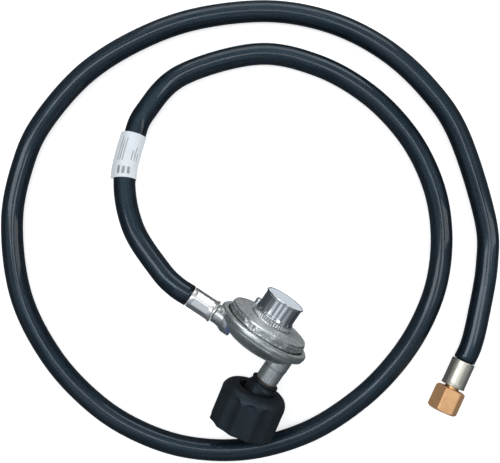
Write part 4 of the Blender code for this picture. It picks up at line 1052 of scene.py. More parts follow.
    def bonnet(self, shop: Workshop, axes: Axes) -> bpy.types.Object:
        """Upper casting with its roof, knurled collar, tower and vent boss.

        Args:
            shop: Makes the shapes.
            axes: Where they lie.

        Returns:
            The casting.
        """
        low, rim = self.bonnet_r - self.undercut, self.bonnet_r - self.tier_step
        wall = [(low, self.bonnet_z), (low, self.undercut_top), (self.bonnet_r - 0.28, self.undercut_top)]
        wall += [(self.bonnet_r, z) for z in levels(self.undercut_top + 0.3, self.tier_z - 0.3, 0.8)]
        collar = [(self.collar_r, z) for z in levels(self.bonnet_top + 1.6, self.collar_top - 0.4, 0.35)]
        outline = [
            (self.tower_bore_r, self.tower_top), (self.tower_bore_r, self.roof_under + 0.6),
            (self.cavity_r - 1.0, self.roof_under), (self.cavity_r, self.roof_under - 1.0),
            (self.cavity_r, self.bonnet_z), *wall, (self.bonnet_r - 0.32, self.tier_z),
            (rim, self.tier_z + 0.1), (rim, self.bonnet_top - 0.5), (rim - 0.15, self.bonnet_top - 0.15),
            (rim - 0.5, self.bonnet_top),
            (rim - 1.6, self.bonnet_top), (rim - 1.9, self.bonnet_top - 0.2),
            (self.bonnet_r - 6.0, self.bonnet_top + 0.05),
            (self.collar_r + 0.8, self.bonnet_top + 0.7), (self.collar_r + 0.2, self.bonnet_top + 1.2),
            *collar, (self.collar_r - 0.4, self.collar_top), (self.tower_r, self.collar_top),
            (self.tower_r, self.tower_top)]
        bonnet = shop.shape(lathe("bonnet_casting", outline, 336, self.bonnet_wall, 30.0), axes.regulator)
        vent_place = axes.regulator @ Matrix.Translation(Vector((*self.vent_at, 0.0)) * MM)
        boss = lathe("vent_boss", soften([
            (0.0, self.vent_top), (self.vent_r, self.vent_top), (self.vent_r, self.bonnet_top),
            (self.vent_r + 0.8, self.bonnet_top - 1.0), (0.0, self.bonnet_top - 1.0)], 0.4, False), 48)
        bore = lathe("vent_bore", [
            (0.0, self.vent_top + 1.0), (self.vent_r - 0.8, self.vent_top + 1.0),
            (self.vent_r - 0.8, self.vent_top - 1.2), (self.vent_bore_r, self.vent_top - 1.2),
            (self.vent_bore_r, self.bonnet_z - 1.0), (0.0, self.bonnet_z - 1.0)], 32)
        shop.combine(bonnet, shop.shape(boss, vent_place), 'UNION', 30.0)
        shop.combine(bonnet, shop.shape(bore, vent_place), 'DIFFERENCE', 30.0)
        return bonnet

    def build(self, shop: Workshop, axes: Axes) -> None:
        """Make and dress both castings and the vent's screen.

        Args:
            shop: Makes and dresses the pieces.
            axes: Where they lie.
        """
        palette = shop.palette
        shop.finish(self.lower_body(shop, axes), palette.body_zinc, "body", "lower_body")
        shop.finish(self.bonnet(shop, axes), palette.zinc, "body", "bonnet")
        shop.dress("vent_screen", palette.steel)


# --- cap and adjusting screw ---------------------------------------------------------------------------
@dataclass
class AdjustingTower:
    """The chrome cap and the screw under it."""

    cap_z: float = 11.5
    cap_top: float = 25.8
    cap_r: float = 13.25
    lip_r: float = 14.0
    lip_t: float = 1.0
    bore_r: float = 12.3
    roof_t: float = 1.7
    recess: float = 0.3
    screw_top: float = 18.0
    screw_t: float = 4.0
    screw_r: float = 9.3
    socket_af: float = 6.0
    socket_depth: float = 2.4
    thread_pitch: float = 1.5
    thread_depth: float = 0.35

    def cap(self, shop: Workshop, axes: Axes) -> bpy.types.Object:
        """Chrome cap with a flared foot and a raised rim round its top.

        Args:
            shop: Makes the shape.
            axes: Where it lies.

        Returns:
            The cap.
        """
        lip = self.cap_top - self.lip_t
        ceiling = self.cap_top - self.roof_t - self.recess
        outline = soften([
            (0.0, self.cap_top - self.recess), (self.cap_r - 0.6, self.cap_top - self.recess),
            (self.cap_r - 0.1, self.cap_top), (self.lip_r - 0.2, self.cap_top),
            (self.lip_r, self.cap_top - 0.25), (self.lip_r, lip), (self.cap_r, lip - 0.7),
            (self.cap_r, self.cap_z + 2.4),
            (self.lip_r, self.cap_z + 0.9), (self.lip_r, self.cap_z), (self.bore_r, self.cap_z),
            (self.bore_r, ceiling), (0.0, ceiling)], 0.3, False)
        return shop.shape(lathe("chrome_cap", outline, 144), axes.regulator)

    def screw(self, shop: Workshop, axes: Axes) -> bpy.types.Object:
        """Adjusting screw with a hexagon socket and a threaded wall.

        Args:
            shop: Makes the shape.
            axes: Where it lies.

        Returns:
            The screw.
        """
        bottom = self.screw_top - self.screw_t
        floor = self.screw_top - self.socket_depth
        socket_r = self.socket_af / 2
        wall = [(self.screw_r, z) for z in levels(self.screw_top - 0.4, bottom + 0.4, 0.2)]

        def cut(radius: float, angle: float, height: float) -> float:
            """Hexagon socket inside, thread outside.

            Args:
                radius: The outline's radius.
                angle: The angle round the axis.
                height: The height over the flange plane.

            Returns:
                The changed radius.
            """
            if radius <= socket_r + 0.01:
                return radius * hexagon_radius(self.socket_af, angle) / socket_r
            if radius > self.screw_r - 0.01:
                return radius - thread(angle, height, self.thread_pitch, self.thread_depth)
            return radius

        outline = [(0.0, floor), (socket_r * 0.5, floor), (socket_r, floor), (socket_r, self.screw_top - 0.3),
                   (socket_r + 1.0, self.screw_top), (self.screw_r - 0.6, self.screw_top), *wall,
                   (self.screw_r - 0.6, bottom), (0.0, bottom)]
        return shop.shape(lathe("adjusting_screw_turned", outline, 96, cut, 30.0), axes.regulator)

    def build(self, shop: Workshop, axes: Axes) -> None:
        """Make and dress the cap and the screw, and dress the button.

        Args:
            shop: Makes and dresses the pieces.
            axes: Where they lie.
        """
        shop.finish(self.cap(shop, axes), shop.palette.chrome, "closing_cap", "closing_cap")
        shop.finish(self.screw(shop, axes), shop.palette.brass, "adjusting_screw", "adjusting_screw")
        shop.dress("spring_button", shop.palette.steel)


# --- bottle connection -----------------------------------------------------------------------------------
@dataclass
class BottleConnection:
    """Nipple, thermal bushing and hand nut."""

    bushing_top: float = -28.65
    bushing_end: float = -51.6
    bushing_r: float = 10.2
    bushing_neck_r: float = 9.2
    bushing_lip_r: float = 9.6
    bushing_bore_r: float = 7.3
    bushing_flange_r: float = 14.6
    bushing_flange_t: float = 1.6
    nipple_top: float = -18.1
    nipple_r: float = 7.0
    nipple_thread_r: float = 6.1
    nipple_flange_r: float = 8.9
    nipple_flange_top: float = -51.9
    nipple_flange_z: float = -53.4
    probe_end: float = -61.0
    probe_r: float = 6.2
    probe_tip_r: float = 4.8
    probe_bore_r: float = 3.6
    passage_r: float = 1.7
    check_seat_z: float = -39.4
    nut_r: float = 23.0
    nut_top: float = 9.9
    nut_end: float = -20.1
    nut_bore_r: float = 12.3
    nut_bore_inner_r: float = 11.1
    nut_socket_r: float = 16.4
    nut_mouth_r: float = 17.8
    nut_mouth_depth: float = 1.6
    nut_shoulder_r: float = 16.5
    nut_shoulder_h: float = 8.5
    grips: int = 12
    grip_depth: float = 1.25
    grip_top_rise: float = 4.6
    thread_pitch: float = 5.0
    thread_depth: float = 0.7

    def bushing(self, shop: Workshop, axes: Axes) -> bpy.types.Object:
        """Black bushing with a lip against the stem.

        Args:
            shop: Makes the shape.
            axes: Where it lies.

        Returns:
            The bushing.
        """
        top = self.bushing_top
        flange_z = self.bushing_end + self.bushing_flange_t
        outline = soften([
            (self.bushing_bore_r, top), (self.bushing_bore_r, self.bushing_end),
            (self.bushing_flange_r, self.bushing_end), (self.bushing_flange_r, flange_z),
            (self.bushing_r, flange_z), (self.bushing_r, top - 4.6), (self.bushing_neck_r, top - 3.0),
            (self.bushing_neck_r, top - 1.8), (self.bushing_lip_r, top - 1.2), (self.bushing_lip_r, top)],
            0.35, True)
        return shop.shape(lathe("bushing_moulding", outline, 96), axes.inlet)

    def nipple(self, shop: Workshop, axes: Axes) -> bpy.types.Object:
        """Brass nipple with its rounded probe.

        Args:
            shop: Makes the shape.
            axes: Where it lies.

        Returns:
            The nipple.
        """
        outline = soften([
            (self.passage_r, self.nipple_top), (self.passage_r, self.check_seat_z),
            (self.probe_bore_r, self.check_seat_z), (self.probe_bore_r, self.probe_end),
            (self.probe_tip_r, self.probe_end), (self.probe_tip_r + 0.7, self.probe_end + 1.2),
            (self.probe_r, self.probe_end + 3.8), (self.probe_r, self.nipple_flange_z),
            (self.nipple_flange_r, self.nipple_flange_z), (self.nipple_flange_r, self.nipple_flange_top),
            (self.nipple_r, self.nipple_flange_top), (self.nipple_r, self.bushing_top),
            (self.nipple_thread_r, self.bushing_top), (self.nipple_thread_r, self.nipple_top)], 0.35, True)
        return shop.shape(lathe("nipple_turned", outline, 72), axes.inlet)

    def grip(self, radius: float, angle: float, height: float) -> float:
        """Wall of the nut with its flutes, which end in an arch on the shoulder, and its thread.

        Args:
            radius: The outline's radius.
            angle: The angle from a ridge.
            height: The height over the web's inner face.

        Returns:
            The changed radius.
        """
        if abs(radius - self.nut_socket_r) < 0.01 and self.nut_end + self.nut_mouth_depth < height < -0.5:
            fade = min(1.0, (-0.5 - height) / 2.0)
            return radius + thread(angle, height, self.thread_pitch, self.thread_depth) * fade
        if radius < self.nut_mouth_r + 0.8:
            return radius
        side = FULL_TURN / self.grips
        off = (angle % side) / side - 0.5
        scoop = math.cos(math.pi * off) ** 1.3
        grip_top = self.nut_top - self.nut_shoulder_h
        arch = grip_top + self.grip_top_rise * (1.0 - (2.0 * off) ** 2) - 0.6
        share = min(1.0, max(0.0, (arch - height) / 1.6))
        share = share * share * (3.0 - 2.0 * share)
        return radius - self.grip_depth * scoop * share

    def nut(self, shop: Workshop, axes: Axes) -> bpy.types.Object:
        """Black hand nut with a rounded shoulder.

        Args:
            shop: Makes the shape.
            axes: Where it lies.

        Returns:
            The nut.
        """
        grip_top = self.nut_top - self.nut_shoulder_h
        edge_z = self.nut_end + 0.8
        socket = [(self.nut_socket_r, z) for z in levels(0.0, self.nut_end + self.nut_mouth_depth, 0.6)]
        wall = [(self.nut_r, z) for z in levels(edge_z, grip_top, 1.0)]
        shoulder: Outline = []
        for degrees in range(8, 91, 6):
            turn = math.radians(degrees)
            shoulder.append((self.nut_shoulder_r + (self.nut_r - self.nut_shoulder_r) * math.cos(turn),
                             grip_top + self.nut_shoulder_h * math.sin(turn)))
        outline = [(self.nut_bore_r, self.nut_top - 0.6), (self.nut_bore_inner_r, 1.2),
                   (self.nut_bore_inner_r + 0.2, 0.0), *socket,
                   (self.nut_mouth_r, self.nut_end), (self.nut_r - 1.6, self.nut_end),
                   (self.nut_r - 0.6, self.nut_end + 0.15), (self.nut_r - 0.15, self.nut_end + 0.45), *wall,
                   *shoulder, (self.nut_bore_r + 0.6, self.nut_top)]
        mesh = lathe("nut_moulding_piece", outline, self.grips * 20, self.grip, 34.0)
        turn = Matrix.Rotation(math.pi / self.grips, 4, 'Z')
        return shop.shape(mesh, axes.nut @ turn)

    def build(self, shop: Workshop, axes: Axes) -> None:
        """Make and dress the three pieces, and dress what is behind them.

        Args:
            shop: Makes and dresses the pieces.
            axes: Where they lie.
        """
        palette = shop.palette
        shop.finish(self.bushing(shop, axes), palette.bushing, "body", "thermal_bushing")
        shop.finish(self.nipple(shop, axes), palette.brass, "body", "inlet_nipple")
        shop.finish(self.nut(shop, axes), palette.nut, "coupling_nut", "coupling_nut")
        for node in ("slip_washer", "check_poppet", "orifice", "outlet_barb"):
            shop.dress(node, palette.brass)
        shop.dress("check_retainer", palette.steel)
        shop.dress("check_spring", palette.spring)


# --- inside the regulator ----------------------------------------------------------------------------------
@dataclass
class InnerWorks:
    """Spring, diaphragm, lever and valve, which the castings hide."""

    steel: tuple[str, ...] = ("diaphragm_plate", "lever", "lever_pin", "lever_bracket")
    brass: tuple[str, ...] = ("diaphragm_post", "stack_nut", "valve_holder")
    rubber: tuple[str, ...] = ("diaphragm", "seat_disc")

    def build(self, shop: Workshop) -> None:
        """Dress every hidden piece in its own metal or rubber.

        Args:
            shop: Dresses the pieces.
        """
        palette = shop.palette
        for nodes, finish in ((self.steel, palette.steel), (self.brass, palette.brass),
                              (self.rubber, palette.inner_rubber)):
            for node in nodes:
                shop.dress(node, finish)
        shop.dress("main_spring", palette.spring)


# --- hose -------------------------------------------------------------------------------------------------
@dataclass
class HoseRun:
    """The hose from ferrule to ferrule, with its label."""

    radius: float = 7.5
    straight: float = 12.0
    ring_gap: float = 2.5
    sides: int = 40
    end_taper: float = 1.0
    end_radius: float = 6.3
    label_from: float = 96.5
    label_to: float = 128.5
    label_gap: float = 0.25
    label_t: float = 0.3
    label_start: float = 205.0
    label_wrap: float = 334.0
    flap_angle: float = 30.0
    flap_lift: float = 1.8
    route: list[Triple] = field(default_factory=lambda: [
        (-76.6, 16.1, 21.5), (-107.1, 28.9, 16.0), (-130.6, 51.8, 9.7), (-142.5, 80.5, 4.3),
        (-146.3, 100.0, 1.9), (-140.0, 134.5, 0.0), (-104.8, 175.6, 0.0), (-65.9, 192.3, 0.0),
        (-25.0, 195.4, 0.0), (13.9, 186.8, 0.0), (46.2, 168.7, 0.0), (69.8, 144.3, 0.0),
        (86.4, 113.8, 0.0), (93.7, 81.3, 0.0), (93.4, 47.9, 0.0), (86.0, 13.9, 0.0),
        (69.5, -22.5, 0.0), (42.3, -54.5, 0.0), (8.3, -76.3, 0.0), (-27.2, -86.6, 0.0),
        (-64.5, -87.5, 0.0), (-106.9, -77.2, 0.0), (-148.5, -53.3, 0.0), (-181.9, -13.9, 0.0),
        (-197.9, 25.3, 0.0), (-201.9, 57.2, 0.0), (-195.6, 100.5, 0.0), (-177.2, 140.6, 0.0),
        (-151.3, 174.6, 0.0), (-113.1, 205.7, 0.0), (-73.4, 222.6, 0.0), (-33.0, 227.6, 0.0),
        (6.2, 221.9, 0.0), (42.8, 206.7, 0.0), (90.0, 168.5, 0.0), (109.0, 142.0, 0.2),
        (123.5, 108.6, 1.3), (130.0, 89.9, 2.0), (131.9, 78.0, 2.0)])

    def line(self, leaves: Vector) -> tuple[np.ndarray, np.ndarray]:
        """The hose's centre line.

        Args:
            leaves: Where it leaves the first ferrule, in millimetres.

        Returns:
            Fine points of a Catmull-Rom curve, and the run along it at each.
        """
        start = [tuple(leaves), (leaves.x - self.straight, leaves.y, leaves.z)]
        points = np.array(start + [(x, y, self.radius + lift) for x, y, lift in self.route])
        through = np.vstack([2 * points[0] - points[1], points, 2 * points[-1] - points[-2]])
        fine = []
        for a, b, c, d in zip(through, through[1:], through[2:], through[3:]):
            for t in np.arange(0.0, 1.0, 0.05):
                fine.append(0.5 * (2 * b + (c - a) * t + (2 * a - 5 * b + 4 * c - d) * t ** 2
                                   + (3 * b - a - 3 * c + d) * t ** 3))
        made = np.array([*fine, points[-1]])
        made[:, 2] = np.maximum(made[:, 2], self.radius)
        run = np.concatenate([[0.0], np.cumsum(np.linalg.norm(np.diff(made, axis=0), axis=1))])
        return made, run

    @staticmethod
    def stations(fine: np.ndarray, run: np.ndarray, where: np.ndarray) \
            -> tuple[np.ndarray, np.ndarray, np.ndarray]:
        """Places on the line with their sideways and upward directions.

        Args:
            fine: The line's fine points.
            run: The run along it at each.
            where: The runs that are wanted.

        Returns:
            Centres, level sideways directions and upward directions.
        """
        centre = np.stack([np.interp(where, run, fine[:, axis]) for axis in range(3)], axis=1)
        ahead = np.gradient(centre, axis=0)
        ahead /= np.linalg.norm(ahead, axis=1, keepdims=True)
        side = np.cross(ahead, np.array([0.0, 0.0, 1.0]))
        side /= np.linalg.norm(side, axis=1, keepdims=True)
        return centre, side, np.cross(side, ahead)

    def tube(self, fine: np.ndarray, run: np.ndarray) -> bpy.types.Mesh:
        """The hose's skin, with a UV map in turns and metres.

        Args:
            fine: The line's fine points.
            run: The run along it at each.

        Returns:
            The closed mesh.
        """
        ends = [0.0, self.end_taper * 0.3, self.end_taper]
        inner = np.linspace(self.end_taper + self.ring_gap, run[-1] - self.end_taper - self.ring_gap,
                            int(run[-1] / self.ring_gap))
        where = np.concatenate([ends, inner, [run[-1] - value for value in reversed(ends)]])
        centre, side, up = self.stations(fine, run, where)
        bm = bmesh.new()
        layer = bm.loops.layers.uv.new("hose")
        rings = []
        for i, station in enumerate(where):
            to_end = min(station, run[-1] - station) / self.end_taper
            swell = math.sqrt(max(0.0, 1 - (1 - min(1.0, to_end)) ** 2))
            radius = self.end_radius + (self.radius - self.end_radius) * swell
            angles = (FULL_TURN * k / self.sides for k in range(self.sides))
            rings.append([bm.verts.new(on_wall(centre[i], side[i], up[i], radius, a)) for a in angles])
        for i, (low, high) in enumerate(zip(rings, rings[1:])):
            for k in range(self.sides):
                after = (k + 1) % self.sides
                face = bm.faces.new((low[k], low[after], high[after], high[k]))
                corners = ((k, i), (k + 1, i), (k + 1, i + 1), (k, i + 1))
                for loop, (turn, row) in zip(face.loops, corners):
                    loop[layer].uv = (turn / self.sides, where[row] * MM)
        bm.faces.new(rings[0])
        bm.faces.new(rings[-1])
        return finish_mesh(bm, "hose_cover_tube", 50.0)

    def label(self, fine: np.ndarray, run: np.ndarray) -> bpy.types.Mesh:
        """Film wrapped round the hose, its loose end standing off.

        Args:
            fine: The line's fine points.
            run: The run along it at each.

        Returns:
            The closed mesh, with a UV map from 0 to 1 each way.
        """
        where = np.array(levels(self.label_from, self.label_to, 2.0))
        centre, side, up = self.stations(fine, run, where)
        angles = np.array(levels(self.label_start - self.flap_angle, self.label_start + self.label_wrap, 6.0))
        lift = np.clip((self.label_start - angles) / self.flap_angle, 0.0, 1.0) ** 1.6 * self.flap_lift
        bm = bmesh.new()
        layer = bm.loops.layers.uv.new("film")
        skins = []
        for depth in (0.0, self.label_t):
            radii = self.radius + self.label_gap + lift + depth
            turns = np.radians(angles)
            skins.append([[bm.verts.new(on_wall(centre[i], side[i], up[i], radius, -a))
                           for a, radius in zip(turns, radii)] for i in range(len(where))])
        rows, columns = len(where), len(angles)

        def patch(points: list[tuple[int, int, int]]) -> None:
            """Add one face.

            Args:
                points: Its corners, each as skin, row and column.
            """
            face = bm.faces.new([skins[skin][row][column] for skin, row, column in points])
            for loop, (_, row, column) in zip(face.loops, points):
                loop[layer].uv = (column / (columns - 1), row / (rows - 1))

        for row in range(rows - 1):
            for column in range(columns - 1):
                for skin in (0, 1):
                    patch([(skin, row, column), (skin, row + 1, column), (skin, row + 1, column + 1),
                           (skin, row, column + 1)])
            for column in (0, columns - 1):
                patch([(0, row, column), (0, row + 1, column), (1, row + 1, column), (1, row, column)])
        for column in range(columns - 1):
            for row in (0, rows - 1):
                patch([(0, row, column), (0, row, column + 1), (1, row, column + 1), (1, row, column)])
        return finish_mesh(bm, "label_film_wrap", 50.0)


@dataclass
class Ferrule:
    """A crimped sleeve over one end of the hose."""

    name: str
    radius: float
    length: float = 18.8
    wall: float = 0.75
    end_t: float = 1.2
    lip: float = 0.6
    lip_t: float = 1.6
    hole: float = 5.3
    crimps: int = 8
    margin: float = 1.8
    rib: float = 0.008

    def crimped(self, radius: float, angle: float, height: float) -> float:
        """Flats pressed between the crimp's ends, with faint ribs.

        Args:
            radius: The outline's radius.
            angle: The angle round the sleeve.
            height: The distance from the end wall.

        Returns:
            The changed radius.
        """
        start, end = self.lip_t + self.margin, self.length - self.margin
        if radius < self.radius - 0.1 or height < start or height > end:
            return radius
        side = FULL_TURN / self.crimps
        off = (angle + side / 2) % side - side / 2
        flat = self.radius * math.cos(side / 2) * 1.02 / math.cos(off)
        share = min(1.0, (height - start) / 0.9, (end - height) / 0.9)
        ribs = self.rib * math.cos(FULL_TURN * height / 1.5)
        return radius + (min(self.radius, flat) - radius) * share + ribs * share

    def build(self, shop: Workshop, place: Matrix) -> bpy.types.Object:
        """Make the sleeve.

        Args:
            shop: Makes the shape.
            place: Its end wall's place, with Z towards its mouth.

        Returns:
            The sleeve.
        """
        inside = self.radius - self.wall
        wall = [(self.radius, z) for z in levels(self.lip_t + 0.6, self.length - 0.35, 0.4)]
        lip_r = self.radius + self.lip
        outline = [(self.hole, 0.0), (lip_r - 0.35, 0.0), (lip_r - 0.1, 0.1),
                   (lip_r, 0.35), (lip_r, self.lip_t - 0.3),
                   (lip_r - 0.25, self.lip_t), (self.radius + 0.1, self.lip_t + 0.25), *wall,
                   (self.radius - 0.1, self.length - 0.1), (self.radius - 0.3, self.length),
                   (inside, self.length - 0.2), (inside, self.end_t), (self.hole, self.end_t)]
        return shop.shape(lathe(self.name, outline, self.crimps * 14, self.crimped, 38.0), place)


@dataclass
class HoseEnd:
    """Stretch of hose squeezed between the barb and a ferrule."""

    name: str
    outside: float
    inside: float = 4.5
    length: float = 17.3
    round: float = 0.3

    def build(self, shop: Workshop, place: Matrix) -> bpy.types.Object:
        """Make the stretch of hose.

        Args:
            shop: Makes the shape.
            place: Its cut end's place, with Z towards the ferrule's end wall.

        Returns:
            The stretch of hose.
        """
        wall = [(self.outside, z) for z in levels(self.round, self.length - self.round, 1.0)]
        outline = [(self.inside, 0.0), (self.outside - self.round, 0.0), *wall,
                   (self.outside - self.round, self.length), (self.inside, self.length)]
        return shop.shape(lathe(self.name, outline, 72, None, 38.0), place)


# --- swivel fitting ------------------------------------------------------------------------------------
@dataclass
class SwivelFitting:
    """Brass hexagon nut that turns on the flared tail."""

    across_flats: float = 19.0
    start: float = 20.95
    length: float = 17.0
    web_t: float = 4.2
    neck_hole: float = 5.6
    socket_r: float = 7.3
    mouth_r: float = 8.1
    chamfer: float = 1.3
    chamfer_lean: float = 1.6
    thread_pitch: float = 1.4
    thread_depth: float = 0.45
    tail_neck_r: float = 5.0
    shoulder_r: float = 6.6
    shoulder_t: float = 1.7
    tip_r: float = 3.6
    bore_r: float = 2.4
    tail_root: float = 1.0
    tail_neck_z: float = 17.9
    barb_r: float = 4.2
    barb_root_r: float = 3.6
    barb_top: float = 17.0
    barb_bottom: float = 4.0
    barb_pitch: float = 3.3

    def corner_and_face(self) -> tuple[float, float]:
        """Radius over the hexagon's corners, and of its flat end faces."""
        corner = self.across_flats / 2 / math.cos(math.pi / 6)
        return corner, corner - self.chamfer * self.chamfer_lean

    def wall(self, radius: float, angle: float, height: float) -> float:
        """Hexagon with coned ends outside, thread inside.

        Args:
            radius: The outline's radius.
            angle: The angle from a corner.
            height: The height over the nut's back face.

        Returns:
            The changed radius.
        """
        corner, face = self.corner_and_face()
        if radius > face + 0.01:
            cone = face + min(height, self.length - height) * (corner - face) / self.chamfer
            return min(hexagon_radius(self.across_flats, angle), corner - 0.18, cone)
        threaded = self.web_t + 0.8 < height < self.length - 1.0
        if abs(radius - self.socket_r) < 0.01 and threaded:
            return radius + thread(angle, height, self.thread_pitch, self.thread_depth)
        return radius

    def nut(self, shop: Workshop, axes: Axes) -> bpy.types.Object:
        """The hexagon nut.

        Args:
            shop: Makes the shape.
            axes: Where it lies.

        Returns:
            The nut.
        """
        corner, face = self.corner_and_face()
        rise = levels(0.06, self.chamfer + 0.1, 0.11)
        outside = [(corner, z) for z in rise + levels(2.4, self.length - 2.4, 1.5)]
        outside += [(corner, self.length - z) for z in reversed(rise)]
        socket = [(self.socket_r, z) for z in levels(self.length - 0.8, self.web_t, 0.22)]
        outline = [(self.neck_hole, 0.0), (face, 0.0), *outside, (face, self.length),
                   (self.mouth_r, self.length), *socket, (self.neck_hole, self.web_t)]
        place = axes.fitting @ Matrix.Translation((0, 0, self.start * MM))
        return shop.shape(lathe("swivel_nut_turned", outline, 144, self.wall, 24.0), place)

    def tail(self, shop: Workshop, axes: Axes) -> bpy.types.Object:
        """The tail with its flare cone and barbs.

        Args:
            shop: Makes the shape.
            axes: Where it lies.

        Returns:
            The tail.
        """
        shoulder = self.start + self.web_t + 0.3
        cone = shoulder + self.shoulder_t
        tip = cone + self.shoulder_r - self.tip_r
        barbs: Outline = []
        for root in levels(self.barb_top, self.barb_bottom, self.barb_pitch):
            barbs += [(self.barb_root_r, root), (self.barb_r, root - 0.3), (self.barb_root_r, root - 3.0)]
        outline = [(self.bore_r, tip - 0.4), (self.bore_r + 0.4, tip), (self.tip_r - 0.2, tip),
                   (self.tip_r + 0.1, tip - 0.25), (self.shoulder_r - 0.1, cone + 0.1),
                   (self.shoulder_r, cone - 0.2), (self.shoulder_r, shoulder), (self.tail_neck_r, shoulder),
                   (self.tail_neck_r, self.tail_neck_z), *barbs, (self.bore_r, self.tail_root)]
        return shop.shape(lathe("flare_tail_turned", outline, 64, None, 30.0), axes.fitting)


@dataclass
class HoseAssembly:
    """Hose, label, both ferrules and the swivel fitting."""

    ferrule_a_r: float = 7.3
    ferrule_b_r: float = 8.1
    ferrule_gap: float = 0.3

    def build(self, shop: Workshop, axes: Axes) -> None:
        """Make and dress everything on the hose.

        Args:
            shop: Makes and dresses the pieces.
            axes: Where they lie.
        """
        palette = shop.palette
        run_parts, fitting = HoseRun(), SwivelFitting()
        low, high = (Vector(corner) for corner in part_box("ferrule_regulator"))
        direction = axes.outlet.to_3x3() @ Vector((0, 0, 1))
        middle = axes.outlet.translation
        mouth = Vector((low.x, middle.y, middle.z))
        back = Vector((high.x, middle.y, middle.z))
        leaves = (mouth + direction * self.ferrule_gap * MM) / MM
        fine, run = run_parts.line(leaves)
        tube = shop.shape(run_parts.tube(fine, run), Matrix.Identity(4))
        shop.finish(tube, palette.hose, "body", "hose")
        label = shop.shape(run_parts.label(fine, run), Matrix.Identity(4))
        shop.finish(label, palette.label, "body", "hose_label")

        first = Ferrule("ferrule_regulator_crimped", self.ferrule_a_r)
        first_place = Matrix.Translation(back) @ axes.outlet.to_3x3().to_4x4()
        near = shop.finish(first.build(shop, first_place), palette.ferrule, "body", "ferrule_regulator")
        second = Ferrule("ferrule_fitting_crimped", self.ferrule_b_r, lip=0.2, crimps=16)
        beyond = Matrix.Translation((0, 0, (self.ferrule_gap + second.length) * MM))
        second_place = axes.fitting @ (beyond @ Matrix.Rotation(math.pi, 4, 'X'))
        far = shop.finish(second.build(shop, second_place), palette.warm_ferrule, "body", "ferrule_fitting")
        nut = shop.finish(fitting.nut(shop, axes), palette.nut_brass, "swivel_nut", "swivel_nut")
        tail = shop.finish(fitting.tail(shop, axes), palette.brass, "body", "flare_tail")
        squeezed = HoseEnd("hose_end_squeezed", second.radius - second.wall - self.ferrule_gap)
        squeezed_place = axes.fitting @ Matrix.Translation((0, 0, self.ferrule_gap * MM))
        end = shop.finish(squeezed.build(shop, squeezed_place), palette.inner_rubber, "body",
                          "hose_end_fitting")
        shop.dress("hose_end_regulator", palette.inner_rubber)
        log.info("the hose is %.4f m long; its first ferrule is %s", run[-1] * MM, near.name)


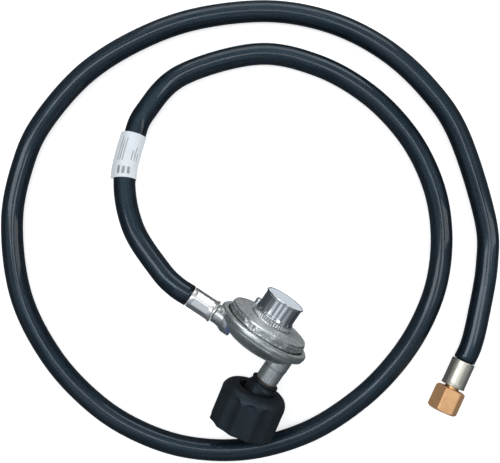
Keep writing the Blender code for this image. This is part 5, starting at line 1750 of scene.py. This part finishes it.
# --- studio ----------------------------------------------------------------------------------------------
@dataclass
class Studio:
    """Pale floor, soft light and the camera straight above."""

    centre: tuple[float, float] = (-0.0405, 0.0709)
    height: float = 0.68
    turn: float = 33.5
    lens: float = 69.94
    sensor: float = 36.0
    floor_size: float = 6.0
    floor_glow: float = 0.6
    floor_colour: Colour = (0.9, 0.9, 0.9)
    floor_reflected: Colour = (0.09, 0.10, 0.11)
    panels: float = 13.0
    panel_shift: float = 2.4
    panel_gap: float = 0.25
    sky_from: float = 0.1
    sky_to: float = 0.9
    horizon: Colour = (0.07, 0.08, 0.09)
    zenith: Colour = (0.72, 0.78, 0.84)

    def floor(self) -> None:
        """A plain pale floor that glossy surfaces see darker, so that metal edges stand out."""
        bm = bmesh.new()
        bmesh.ops.create_grid(bm, x_segments=1, y_segments=1, size=self.floor_size / 2)
        mesh = bpy.data.meshes.new("studio_floor")
        bm.to_mesh(mesh)
        bm.free()
        floor = bpy.data.objects.new("studio_floor", mesh)
        bpy.context.scene.collection.objects.link(floor)
        made = bpy.data.materials.new("studio_floor")
        made.use_nodes = True
        graph = Graph(made.node_tree)
        shader = made.node_tree.nodes["Principled BSDF"]
        glossy = graph.add("ShaderNodeLightPath").outputs["Is Glossy Ray"]
        pale = graph.mix(glossy, rgba(self.floor_colour), rgba(self.floor_reflected))
        graph.feed(shader.inputs["Base Color"], pale)
        shader.inputs["Roughness"].default_value = 0.9
        shader.inputs["Emission Color"].default_value = (1.0, 1.0, 1.0, 1.0)
        graph.feed(shader.inputs["Emission Strength"], graph.ramp(glossy, 0.0, 1.0, self.floor_glow, 0.0))
        mesh.materials.append(made)

    def softbox(self, name: str, at: Triple, size: tuple[float, float],
                radiance: float) -> None:
        """An area light aimed at the middle of the object.

        Args:
            name: Its name.
            at: Its place, in metres from the middle of the view.
            size: Its width and height.
            radiance: How bright its face looks.
        """
        data = bpy.data.lights.new(name, 'AREA')
        data.shape = 'RECTANGLE'
        data.size, data.size_y = size
        data.energy = radiance * math.pi * size[0] * size[1]
        lamp = bpy.data.objects.new(name, data)
        bpy.context.scene.collection.objects.link(lamp)
        turn = Matrix.Rotation(math.radians(self.turn), 4, 'Z')
        offset = turn @ Vector(at)
        lamp.location = Vector((*self.centre, 0.0)) + offset
        lamp.rotation_euler = (-offset).to_track_quat('-Z', 'Y').to_euler()

    def sky(self) -> None:
        """A sky of panels that is bright overhead and dark towards the horizon."""
        world = bpy.data.worlds.new("studio_sky")
        world.use_nodes = True
        graph = Graph(world.node_tree)
        towards = graph.add("ShaderNodeTexCoord").outputs["Generated"]
        parts = graph.add("ShaderNodeSeparateXYZ", {0: towards})
        phase = graph.math('MULTIPLY_ADD', parts.outputs["X"], self.panels, self.panel_shift)
        across = graph.math('SINE', phase)
        panel = graph.ramp(across, -0.4, 0.4, self.panel_gap, 1.0)
        share = graph.math('MULTIPLY', graph.ramp(parts.outputs["Z"], self.sky_from, self.sky_to), panel)
        background = world.node_tree.nodes["Background"]
        graph.feed(background.inputs["Color"], graph.mix(share, rgba(self.horizon), rgba(self.zenith)))
        bpy.context.scene.world = world

    def light(self) -> None:
        """The sky, with soft boxes on the left, on the right and behind, and a strip overhead."""
        self.sky()
        self.softbox("key_left", (-0.50, 0.12, 1.05), (0.22, 0.7), 4.5)
        self.softbox("fill_right", (0.80, 0.05, 0.62), (0.16, 0.8), 3.0)
        self.softbox("back_low", (0.1, 1.0, 0.42), (1.2, 0.5), 2.6)
        self.softbox("strip_overhead", (0.05, 0.10, 1.25), (1.1, 0.15), 4.6)

    def camera(self) -> None:
        """The camera, straight above the object."""
        data = bpy.data.cameras.new("camera")
        data.lens = self.lens
        data.sensor_width = self.sensor
        data.dof.use_dof = False
        camera = bpy.data.objects.new("camera", data)
        bpy.context.scene.collection.objects.link(camera)
        camera.location = (*self.centre, self.height)
        camera.rotation_euler = (0.0, 0.0, math.radians(self.turn))
        bpy.context.scene.camera = camera

    def build(self) -> None:
        """Set up the floor, the lights and the camera."""
        bpy.context.scene.view_settings.view_transform = 'Standard'
        self.floor()
        self.light()
        self.camera()


def main() -> None:
    """Build the studio and every sub-assembly in order."""
    logging.basicConfig(level=logging.INFO, format="%(name)s: %(message)s")
    Studio().build()
    axes = Axes()
    shop = Workshop(Palette(axes))
    HoseAssembly().build(shop, axes)
    RegulatorBody().build(shop, axes)
    AdjustingTower().build(shop, axes)
    BottleConnection().build(shop, axes)
    InnerWorks().build(shop)
    bpy.context.view_layer.update()
    log.info("all pieces are built")


if __name__ == "__main__":
    main()
